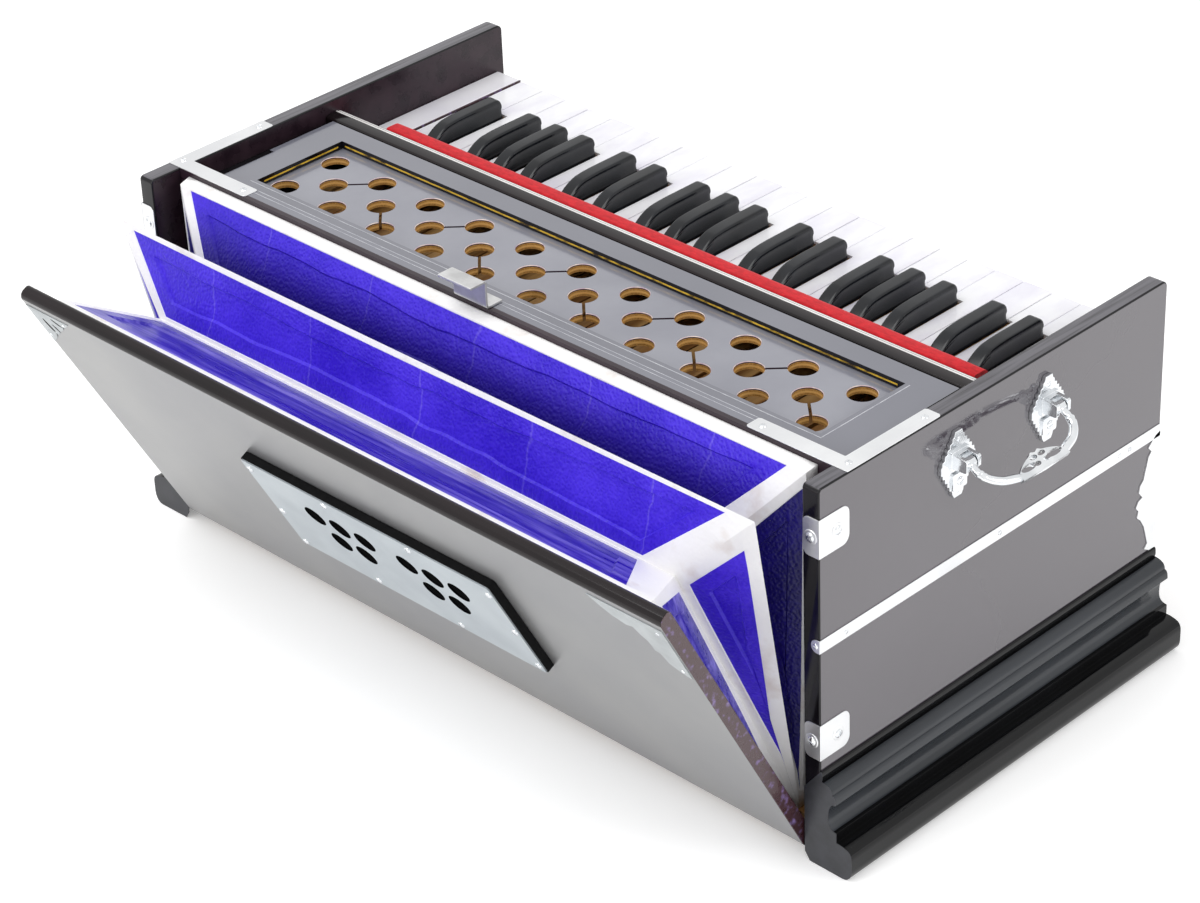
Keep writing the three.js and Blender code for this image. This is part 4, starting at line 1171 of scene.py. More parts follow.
    def felt(self) -> None:
        """Make the felt strip, a little uneven as cut wool felt is."""
        (y0, y1), (z0, z1) = self.felt_y, self.felt_z
        outline = rounded([(y0, z0, 0.3), (y1, z0, 0.3), (y1, z1, 2.2), (y0, z1, 5.0)])
        rings, step = [], 3.0
        count = round(2 * self.felt_half / step)
        for i in range(count + 1):
            x = -self.felt_half + i * step
            wave = 0.22 * noise.noise((x / 21, 0, 0)) + 0.12 * noise.noise((x / 5, 3, 0))
            middle = Vector(((y0 + y1) / 2, (z0 + z1) / 2))
            rings.append([Vector((x, middle.x + (a - middle.x) * (0.98 + wave / 18),
                                  z0 + (b - z0) * (0.98 + wave / 16))) for a, b in outline])
        thing = Shape().loft(rings).piece("felt_runner", [RED_FELT])
        put(thing, "case", "red_felt", "felt_strip")

    def bracket(self) -> None:
        """Make the bent steel bracket on the middle of the rear wall."""
        sheet, bend = 1.8, 1.0
        low, high, riser, front, reach = 265.35, 285.3, 137.3, 125.3, 151.3
        outline = rounded([
            (front, low, 0.4), (riser + sheet, low, bend + sheet), (riser + sheet, high - sheet, bend),
            (reach, high - sheet, 0.4), (reach, high, 0.4), (riser, high, bend + sheet),
            (riser, low + sheet, bend), (front, low + sheet, 0.4)])
        thing = Shape().prism(outline, Axis.X, -9.0, 20.0).piece("rear_clip", [DULL_STEEL], bevel=0.35)
        put(thing, "case", "bright_metal", "rear_bracket")

    def lines(self) -> None:
        """Make the fine pale lines, painted highlights on the window's near edges and the rear wall's top and a
        joint at the cover's rear edge, and the gold lines on the window's walls.
        """
        width, proud, sink = 0.7, 0.06, 0.3
        z = (self.top - sink, self.top + proud)
        half, (front, rear) = self.window_half + 3.0, (self.window_y[0], self.window_y[1] + 3.0)
        # Painted highlight along the window's rear and bass edges.
        pale = Shape().block((-half, half), (rear, rear + width), z)
        pale.block((-half - width, -half), (front, rear + width), z)
        # The joint along the cover's rear edge.
        edge = self.rear - 1.2
        pale.block((-self.notch_half + 1, self.notch_half - 1), (edge, edge + width), z)
        # Painted highlight lines on the rear wall's top.
        wall_top = Case().top
        wall_z = (wall_top - sink, wall_top + proud)
        for y in (124.5, 127.8):
            pale.block((-222, 222), (y, y + 0.45), wall_z)
        put(pale.piece("cover_joints", [PALE_JOINT_AND_HIGHLIGHT]), "case", "cover_laminate")
        gold = Shape()
        height = (251.9, 252.9)
        x, y = self.window_half, self.window_y[0]
        gold.block((-x + 6, x - 3), (y - 0.2, y + 0.25), height)
        gold.block((x - 0.25, x + 0.2), (y + 4, self.window_y[1] - 6), height)
        put(gold.piece("window_gold_line", [GOLD_LINE]), "case", "cover_laminate")


@dataclass(frozen=True)
class Keyboard:
    """Thirty-nine keys, each on its own body."""

    pitch: float = 22.9
    white_count: int = 23
    slit: float = 0.55
    front: float = -155.0
    shoulder: float = -109.0
    rear: float = 98.0
    cap_rear: float = -20.0
    top: float = 229.5
    under: float = 211.5
    cap: float = 2.6
    black_width: float = 11.0
    black_clear: float = 2.0
    black_shift: float = 3.0
    black_front: float = -106.5
    black_top: float = 243.5
    nose: float = 5.0
    heel: float = -39.0
    lever_top: float = 226.0
    pallet_half: float = 4.5
    pallet_y: Point2 = (44.0, 94.0)
    pallet_low: float = 203.9
    notes: tuple[str, ...] = ("c", "csharp", "d", "dsharp", "e", "f", "fsharp", "g", "gsharp", "a", "asharp",
                              "b")
    black_sides: dict[str, int] = field(default_factory=lambda: {
        "csharp": -1, "dsharp": 1, "fsharp": -1, "gsharp": 0, "asharp": 1})

    def build(self) -> None:
        """Make every key from the bass up."""
        whites, semitone = 0, 0
        while whites < self.white_count:
            count = len(self.notes)
            note = self.notes[semitone % count]
            name = f"key_{note}{3 + semitone // count}"
            if note in self.black_sides:
                self.black_key(name, self.black_centre(note, whites))
            else:
                left = -self.white_count * self.pitch / 2 + whites * self.pitch
                before, after = self.notes[(semitone - 1) % count], self.notes[(semitone + 1) % count]
                reach = self.black_width / 2 + self.black_clear
                tail = [left + self.slit / 2, left + self.pitch - self.slit / 2]
                if before in self.black_sides and whites > 0:
                    tail[0] = self.black_centre(before, whites) + reach
                if after in self.black_sides and whites < self.white_count - 1:
                    tail[1] = self.black_centre(after, whites + 1) - reach
                self.white_key(name, (left + self.slit / 2, left + self.pitch - self.slit / 2), tuple(tail))
                whites += 1
            semitone += 1

    def black_centre(self, note: str, whites_before: int) -> float:
        """Return the middle of a black key across the keyboard."""
        joint = -self.white_count * self.pitch / 2 + whites_before * self.pitch
        return joint + self.black_sides[note] * self.black_shift

    def pallet(self, shape: Shape, centre: float, finish: int) -> None:
        """Add the key's leather-faced pallet."""
        shape.block((centre - self.pallet_half, centre + self.pallet_half), self.pallet_y,
                    (self.pallet_low, self.under - 0.05), finish)

    def plan(self, head: Point2, tail: Point2, front: float, rear: float,
             corner: float = 0.0) -> list[Point2]:
        """Return a white key's outline from above.

        Args:
            head: range across the keyboard of its wide front part.
            tail: range of its part between the black keys.
            front: its front edge.
            rear: its rear edge.
            corner: radius of its front corners.

        Returns:
            The outline's points.
        """
        waist = self.shoulder
        return distinct(rounded([
            (head[0], front, corner), (head[1], front, corner), (head[1], waist, 0.0), (tail[1], waist, 0.0),
            (tail[1], rear, 0.0), (tail[0], rear, 0.0), (tail[0], waist, 0.0), (head[0], waist, 0.0)], 4))

    def white_key(self, name: str, head: Point2, tail: Point2) -> None:
        """Make a white key: an acrylic cap and front on a pine lever.

        Args:
            name: the key's body and CAD node.
            head: range across the keyboard of its wide front part.
            tail: range of its part between the black keys.
        """
        cap_low, plate = self.top - self.cap, 1.8
        shape = Shape().prism(self.plan(head, tail, self.front, self.cap_rear, 1.3), Axis.Z, cap_low, self.top)
        head = (head[0] + 0.1, head[1] - 0.1)
        shape.block(head, (self.front + 0.1, self.front + plate), (self.under, cap_low - 0.05))
        shape.prism(self.plan(head, tail, self.front + plate + 0.05, self.rear), Axis.Z, self.under,
                    cap_low - 0.05, 1)
        self.pallet(shape, sum(tail) / 2, 2)
        thing = shape.piece(f"white_{name}", [WHITE_PLASTIC, KEY_WOOD, PALLET_LEATHER], bevel=0.55)
        put(thing, name, "ivory_plastic", name)

    def black_profile(self) -> list[Point2]:
        """Lay out the top of a black key.

        Returns:
            (y, height) pairs along it, from the front.
        """
        centre_z = self.black_top - self.nose
        arc = [(self.black_front + self.nose - self.nose * math.cos(math.radians(t)),
                centre_z + self.nose * math.sin(math.radians(t))) for t in range(0, 91, 15)]
        fall = quadratic((-57.0, 242.5), (-47.0, 240.0), (self.heel, 230.5), 9)
        return arc + [(-96.0, 243.5), (-84.0, 243.5), (-72.0, 243.5), (-64.0, 243.2), (-57.0, 242.5), *fall]

    def black_key(self, name: str, centre: float) -> None:
        """Make a black key: a moulded cap with scooped flanks on a pine lever.

        Args:
            name: the key's body and CAD node.
            centre: its middle across the keyboard.
        """
        half = self.black_width / 2
        section = [(0.6, 0.0), (0.78, 0.25), (0.89, 0.9), (0.94, 2.0), (0.93, 3.2), (0.87, 4.4), (0.82, 6.0),
                   (0.81, 8.0), (0.85, 10.2), (0.92, 12.2), (1.0, 14.0)]
        floor = self.top - 1.5
        full = self.black_top - self.top
        rings = []
        for y, height in self.black_profile():
            scale = max(0.06, (height - self.top) / full)
            tuck = 1 - 0.1 * max(0.0, 1 - (y - self.black_front) / 3.0) ** 2
            side = [(half * share * tuck, max(height - drop * scale, floor + 0.2)) for share, drop in section]
            side.append((half * tuck, floor))
            ring = [(-x, z) for x, z in reversed(side)] + side
            rings.append([Vector((centre + x, y, z)) for x, z in ring])
        shape = Shape().loft(rings)
        x = (centre - half + 0.3, centre + half - 0.3)
        shape.block(x, (self.black_front + 0.4, self.heel - 0.5), (self.under, floor - 0.05), 1)
        shape.block(x, (self.heel - 0.45, self.rear), (self.under, self.lever_top), 1)
        self.pallet(shape, centre, 2)
        thing = shape.piece(f"black_{name}", [BLACK_PLASTIC, KEY_WOOD, PALLET_LEATHER], bevel=0.4)
        put(thing, name, "ebony_plastic", name)


@dataclass(frozen=True)
class Stops:
    """Five turned pull stops in the front board."""

    case: Case = Case()
    steps: int = 40

    def build(self) -> None:
        """Make each stop on its own body."""
        profile = [(0, -156.3), (5.4, -156.25), (6.9, -156.0), (9.6, -155.2), (11.2, -153.7), (12.1, -150.6),
                   (12.5, -146.5), (12.5, -143.6), (12.2, -142.0), (11.4, -141.2), (10.6, -141.0),
                   (9.9, -140.2), (8.2, -138.9), (6.6, -137.6), (5.7, -136.4), (5.5, -134.9), (5.9, -133.6),
                   (8.4, -133.4)]
        collar = [(8.4, -133.35), (9.0, -133.0), (9.0, -130.8), (8.6, -130.35), (4.2, -130.3)]
        rod = [(4.0, -130.25), (4.0, -84.8), (3.5, -84.3), (0, -84.3)]
        route = profile + collar + rod
        finishes = [0] * (len(profile) - 1) + [1] * (len(route) - len(profile))
        for number, x in enumerate(self.case.stop_x, 1):
            shape = Shape().lathe(route, Axis.Y, (x, self.case.stop_z), self.steps, finishes)
            body = f"stop_{number}"
            put(shape.piece(f"stop_knob_{number}", [KNOB_PLASTIC, NICKEL]), body, "knob_plastic", body)


@dataclass(frozen=True)
class Bellows:
    """Swinging board, its vent, and the folded cloth between it and the rear wall."""

    hinge: Point2 = (150.5, 12.0)
    angle: float = math.radians(28)
    half: float = 286.3
    inner: float = 1.0
    outer: float = 11.2
    foot: float = 3.0
    height: float = 251.0
    outer_round: float = 5.0
    inner_round: float = 3.0
    vent_x: Point2 = (-120.0, 106.0)
    vent_z: Point2 = (87.0, 183.0)
    vent_y: Point2 = (11.5, 18.0)
    gasket: float = 5.5
    vent_hole: float = 9.0
    intake: float = 8.0
    group_middle: float = -11.0
    group_reach: float = 42.25
    hole_pitch: float = 23.0
    upper_row: float = 150.0
    lower_row: float = 128.0
    bass_plate: tuple[Point2, ...] = (
        (226.0, 242.0), (233.0, 234.0), (240.0, 228.5), (245.2, 226.8), (249.5, 225.3), (255.4, 227.2),
        (258.4, 221.4), (262.2, 217.3), (263.1, 212.2), (263.5, 208.0), (267.3, 207.3), (269.9, 198.8),
        (275.0, 195.6), (281.8, 192.5))
    treble_plate: tuple[Point2, ...] = (
        (241.0, 242.0), (247.5, 236.5), (251.0, 237.0), (253.5, 231.0), (262.0, 224.0), (268.5, 217.5),
        (271.0, 218.5), (274.5, 212.0), (284.7, 202.0))

    @property
    def place(self) -> Matrix:
        """Return the leaned board's matrix to the frame's metres."""
        y, z = self.hinge
        return CASE @ Matrix.Translation((0, y, z)) @ Matrix.Rotation(-self.angle, 4, "X")

    def leaned(self, y: float, z: float) -> Point2:
        """Return where a point of the leaned board is in the case."""
        c, s = math.cos(self.angle), math.sin(self.angle)
        return self.hinge[0] + y * c + z * s, self.hinge[1] - y * s + z * c

    def build(self) -> None:
        """Make the board and all that it carries, then the cloth."""
        self.board()
        self.vent()
        for end in End:
            self.corner_plate(end)
        Cloth(self).build()

    def holes(self) -> list[Point2]:
        """Lay out the intake holes in two groups of five.

        Returns:
            Their middles on the board.
        """
        centres = []
        for side in (-1, 1):
            middle = self.group_middle + side * self.group_reach
            centres += [(middle + k * self.hole_pitch, self.upper_row) for k in (-1, 0, 1)]
            centres += [(middle + k * self.hole_pitch, self.lower_row) for k in (-0.5, 0.5)]
        return centres

    def board(self) -> None:
        """Make the board: foil outside, lacquered round its top, stained at its ends."""
        outline = rounded([(self.inner, self.foot, 0.6), (self.outer, self.foot, 0.8),
                           (self.outer, self.height, self.outer_round),
                           (self.inner, self.height, self.inner_round)], 8)
        cuts = bores(self.holes(), (self.inner + self.outer) / 2, self.intake, 3 * (self.outer - self.inner))
        thing = Shape().prism(outline, Axis.X, -self.half, self.half).piece(
            "bellows_board_panel", [SILVER_LAMINATE], self.place, cuts=cuts, wall=BLACK_LACQUER)
        back = self.place.inverted()
        turn = back.to_3x3() * MM
        round_z = self.height - self.outer_round
        dress_faces(thing, BROWN_GLOSS, lambda normal, at: (back @ at).z > round_z and (turn @ normal).y < 0.99)
        # The board's ends: the maroon stain with painted glints.
        dress_faces(thing, MAUVE_EDGE_PAINTED_GLINTS, lambda normal, at: abs(normal.x) > 0.9 and abs(at.x) > 0.28)
        dress_faces(thing, STAIN, lambda normal, at: (turn @ normal).y < -0.9)
        put(smooth_piece(thing, 0.5), "bellows", "silver_laminate", "bellows_board")

    def vent(self) -> None:
        """Make the foam gasket, the metal sheet on it, its screws and the leather flap behind."""
        (x0, x1), (z0, z1) = self.vent_x, self.vent_z
        back, front = self.vent_y
        split = back + self.gasket
        inset, corner, depth = 0.8, 2.2, 40.0
        gasket = Shape().prism(rectangle(self.vent_x, self.vent_z, corner), Axis.Y, back, split - 0.02).piece(
            "vent_gasket", [GASKET], self.place, cuts=bores(self.holes(), split, self.vent_hole, depth))
        put(gasket, "bellows", "black_gloss", "vent_plate")
        outline = rectangle((x0 + inset, x1 - inset), (z0 + inset, z1 - inset), corner)
        sheet = Shape().prism(outline, Axis.Y, split, front).piece(
            "vent_face", [VENT_SHEET], self.place,
            cuts=bores(self.holes(), split, self.vent_hole - 0.3, depth), wall=BLACK_LACQUER)
        put(sheet, "bellows", "vent_sheet", "vent_plate")
        flap = Shape().block((x0 + 14, x1 - 14), (back - 11.6, back - 10.6), (z0 + 12, z1 - 12))
        put(flap.piece("intake_flap", [FLAP_LEATHER], self.place, bevel=0.3), "bellows", "black_gloss")
        spots = [(101, 174.2), (100.3, 127.2), (100.5, 91.5), (29.2, 177.5), (-47.2, 177.5), (29.7, 92.5),
                 (-46.2, 92.5), (-115.2, 173.2), (-115.3, 132.0), (-114.8, 93.5)]
        screws = [Screw((x, front, z), (0, 1, 0), 2.6) for x, z in spots]
        put(drive_screws("vent_screws", screws, NICKEL, 5, self.place), "bellows", "bright_metal")

    def corner_plate(self, end: End) -> None:
        """Make the thin cut plate on one upper corner of the board.

        Args:
            end: the end where it is.
        """
        edge, thick = self.half - 1.6, 0.5
        if end is End.BASS:
            outline = [*self.bass_plate, (edge, self.bass_plate[-1][1]), (edge, self.bass_plate[0][1])]
            spots = [(edge - 5, 197.0), (edge - 6, 236.0)]
            cuts = []
        else:
            outline = [*self.treble_plate, (edge, self.treble_plate[0][1])]
            spots = [(edge - 3.0, 211.0), (249.0, 237.5)]
            cuts = [Cut((x, self.outer, z), (r, 3.6 * r, 20.0), (math.pi / 2, lean, 0.0))
                    for x, z, r, lean in ((272.5, 226.0, 1.9, 0.25), (264.0, 226.5, 1.3, 0.5),
                                          (257.5, 236.0, 1.4, 1.1))]
        shape = Shape().prism(mirrored(outline, end), Axis.Y, self.outer + 0.02, self.outer + thick)
        thing = shape.piece(end.named("board_corner"), [DULL_TIN], self.place, cuts=cuts, wall=BLACK_LACQUER)
        put(thing, "bellows", "bright_metal")
        screws = [Screw((end * x, self.outer + thick, z), (0, 1, 0), 1.3) for x, z in spots]
        put(drive_screws(end.named("corner_screws"), screws, NICKEL, 21 + end, self.place), "bellows",
            "bright_metal")


@dataclass(frozen=True)
class Fold:
    """One line of the accordion: half widths, its top and foot, and the tape along it."""

    half: float
    foot_half: float
    top: Point2
    foot: Point2
    tape: float = 1.5
    side_tape: float = 5.0
    bass_hip: float = 15.0
    treble_hip: float = 9.0
    side_hip: float = 9.0
    bass_more: float = 0.0


class Skin(IntEnum):
    """Number of a finish on the cloth."""

    TAPE = 0
    # The panel next to the board, with painted sheen streaks.
    BLUE = 1
    # Painted shade: the deep blue on the sides of the first two strips.
    WORN = 2
    DEEP = 3
    SHADED = 4


@dataclass(frozen=True)
class Cloth:
    """Accordion of carded leatherette with a white tape on every fold, edge and hip."""

    bellows: Bellows
    foot_tape: float = 12.0
    step: float = 0.6
    sunk: float = 2.1
    border_level: float = 0.25
    card_in: float = 12.5
    card_edge: float = 1.5
    thick: float = 1.1
    flat: Point2 = (1.04, 0.24)
    flat_area: float = 0.19
    foot_z: float = 22.6
    roof_stations: int = 56
    side_stations: int = 16
    rows_across: int = 6
    closed_share: float = 0.07

    def folds(self) -> list[Fold]:
        """Lay out the accordion.

        Returns:
            Its lines from the rear wall to the board.
        """
        on_board = self.bellows.leaned(-4.2, 239.0)
        last = self.bellows.leaned(-0.7, 241.0)
        foot, last_foot = self.bellows.leaned(-2.1, 12.0), self.bellows.leaned(0.35, 12.0)
        return [
            Fold(278, 272, (137.3, 262), (137.3, self.foot_z)),
            Fold(277, 272, (146, 260), (145.5, self.foot_z), 1.5, 3.0, 14.0, 10.0),
            Fold(232, 272, (170, 208), (147.2, self.foot_z), 4.0, 4.0, 20.0, 6.5),
            Fold(277.5, 272, (198, 255.4), (148.6, self.foot_z), 5.0, 13.0, 19.0, 12.0, 16.0, 7.5),
            Fold(231, 272, (208, 201), (149.8, self.foot_z), 3.6, 7.0, 29.0, 6.5, 11.0),
            Fold(264.7, 264.7, on_board, foot, 1.5, 7.5, 22.0, 8.0),
            Fold(264.7, 264.7, last, last_foot),
        ]

    def margins(self, length: float, tapes: Point2, inner: int, wave: float = 0.0,
                fill: float = 0.7) -> list[float]:
        """Return stations along a panel, from one edge to the other, in millimetres.

        Args:
            length: the panel's size there.
            tapes: width of the tape at either edge.
            inner: how many even steps lie between the card's two edges.
            wave: how far the card's edges wander there.
            fill: largest share of half the panel that a tape takes.

        Returns:
            The stations, with tape edge, blue edge and card edge at both ends.
        """
        room = [0.0, fill] + [fill + (1 - fill) * share for share in (0.27, 0.6, 0.87)]
        ends = []
        for tape in tapes:
            wanted = [0.0, tape - self.step, tape, tape + self.card_in + wave,
                      tape + self.card_in + self.card_edge + wave]
            ends.append([min(w, r * length / 2) for w, r in zip(wanted, room)])
        near, far = ends[0], [length - n for n in reversed(ends[1])]
        middle = [near[-1] + (far[0] - near[-1]) * i / inner for i in range(1, inner)]
        return near + middle + far

    def heights(self, inner: int) -> list[float]:
        """Return the share of the sinking at each station that margins gives for as many steps."""
        edge = [0.0, 0.0, self.border_level, self.border_level, 1.0]
        return edge + [1.0] * (inner - 1) + edge[::-1]

    def perimeter(self, fold: Fold) -> list[Vector]:
        """Lay out a fold from one foot up, across the roof and down to the other foot.

        Args:
            fold: the fold.

        Returns:
            Its points.
        """
        hip = [Vector((-fold.half - fold.bass_more, *fold.top)), Vector((fold.half, *fold.top))]
        foot = [Vector((end * fold.foot_half, *fold.foot)) for end in End]
        drop = (hip[1] - foot[1]).length
        ends = (self.foot_tape, fold.side_hip)
        side = [d / drop for d in self.margins(drop, ends, self.side_stations)]
        width = (hip[1] - hip[0]).length
        roof = [d / width for d in self.margins(width, (fold.bass_hip, fold.treble_hip), self.roof_stations)]
        up = [foot[0].lerp(hip[0], share) for share in side]
        across = [hip[0].lerp(hip[1], share) for share in roof[1:]]
        down = [hip[1].lerp(foot[1], 1 - share) for share in reversed(side[:-1])]
        return up + across + down

    def strip(self, shape: bmesh.types.BMesh, number: int, folds: tuple[Fold, Fold],
              before: list[bmesh.types.BMVert], sink: list[float]) -> list[bmesh.types.BMVert]:
        """Add the panels between two folds, each sunk inside its tapes.

        Args:
            shape: the cloth's mesh in the making.
            number: the strip's number from the rear wall.
            folds: the lines where it starts and ends.
            before: its vertices along the first line.
            sink: share of the sinking at each column.

        Returns:
            Its vertices along the last line.
        """
        a, b = folds
        all_tape = number in (0, 5)
        side_count = len(self.heights(self.side_stations))
        roof = range(side_count, len(sink) - side_count)
        start, end = self.perimeter(a), self.perimeter(b)
        lines = []
        for c, (first, last) in enumerate(zip(start, end)):
            length = (last - first).length
            wave = (2.4 * noise.noise((first.x / 60, number * 7.0, 1.0))
                    + 1.3 * noise.noise((first.x / 21, number * 7.0, 5.0)))
            tapes, fill = ((a.tape, b.tape), 0.7) if c in roof else ((a.side_tape, b.side_tape), 0.97)
            stations = self.margins(length, tapes, self.rows_across, wave, fill)
            lines.append([first.lerp(last, d / max(length, 1e-6)) for d in stations])
        row_sink = self.heights(self.rows_across)
        for r in range(1, len(row_sink)):
            row = []
            for c, line in enumerate(lines):
                point = line[r]
                if not all_tape:
                    across = lines[min(c + 1, len(lines) - 1)][r] - lines[max(c - 1, 0)][r]
                    normal = across.cross(end[c] - start[c]).normalized()
                    point = point - normal * (self.sunk * min(row_sink[r], sink[c]))
                row.append(shape.verts.new(point))
            for c in range(len(lines) - 1):
                face = shape.faces.new((before[c], before[c + 1], row[c + 1], row[c]))
                panel = not all_tape and row_sink[r - 1] and row_sink[r] and sink[c] and sink[c + 1]
                # Painted shade on the first two strips: deep blue on their sides, and a fade to deep blue low
                # down on their roofs.
                low = Skin.SHADED if c in roof else Skin.DEEP
                # The fourth strip, next to the board, gets the painted sheen streaks.
                skins = {1: low, 2: low, 4: Skin.WORN}
                face.material_index = int(skins.get(number, Skin.BLUE) if panel else Skin.TAPE)
            before = row
        return before

    def build(self) -> None:
        """Make the cloth and the tape that joins it to the board."""
        folds = self.folds()
        side, roof = self.heights(self.side_stations), self.heights(self.roof_stations)
        sink = side + roof[1:] + side[::-1][1:]
        shape = bmesh.new()
        line = [shape.verts.new(point) for point in self.perimeter(folds[0])]
        for number, pair in enumerate(zip(folds, folds[1:])):
            line = self.strip(shape, number, pair, line, sink)
        bmesh.ops.remove_doubles(shape, verts=shape.verts, dist=1e-3)
        data = bpy.data.meshes.new("bellows_folds")
        shape.to_mesh(data)
        shape.free()
        for finish in (TAPE, BLUE_CLOTH, SHEEN_STREAKED_CLOTH, PAINTED_SHADE_CLOTH, SHADED_CLOTH):
            data.materials.append(finish.material())
        thing = in_scene("bellows_folds", data)
        data.transform(CASE)
        self.check_outward(data)
        smooth_piece(thing)
        wall = thing.modifiers.new("Cloth and card", "SOLIDIFY")
        wall.thickness = self.thick * MM
        wall.offset = -1
        put(thing, "case", "bellows_cloth", "bellows_cloth")
        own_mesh(thing)
        self.board_tape()

    def check_outward(self, data: bpy.types.Mesh) -> None:
        """Turn the faces round if the roof of the first strip looks down.

        Args:
            data: the cloth's mesh.
        """
        top = max(data.polygons, key=lambda face: face.center.z)
        if top.normal.z < 0:
            data.flip_normals()

    def board_tape(self) -> None:
        """Make the tape round the board's inner face, where the cloth ends."""
        b = self.bellows
        width, thick, half = 10.0, 0.5, 264.7
        y = (b.inner - thick, b.inner - 0.02)
        top, foot = 243.0, 8.0
        shape = Shape().block((-half - 6, half + 6), y, (top - width, top))
        for end in End:
            shape.block(end.span(half - 4, half + 6), y, (foot, top - width - 0.05))
        put(shape.piece("board_tape", [TAPE], b.place, bevel=0.15), "bellows", "bellows_cloth")


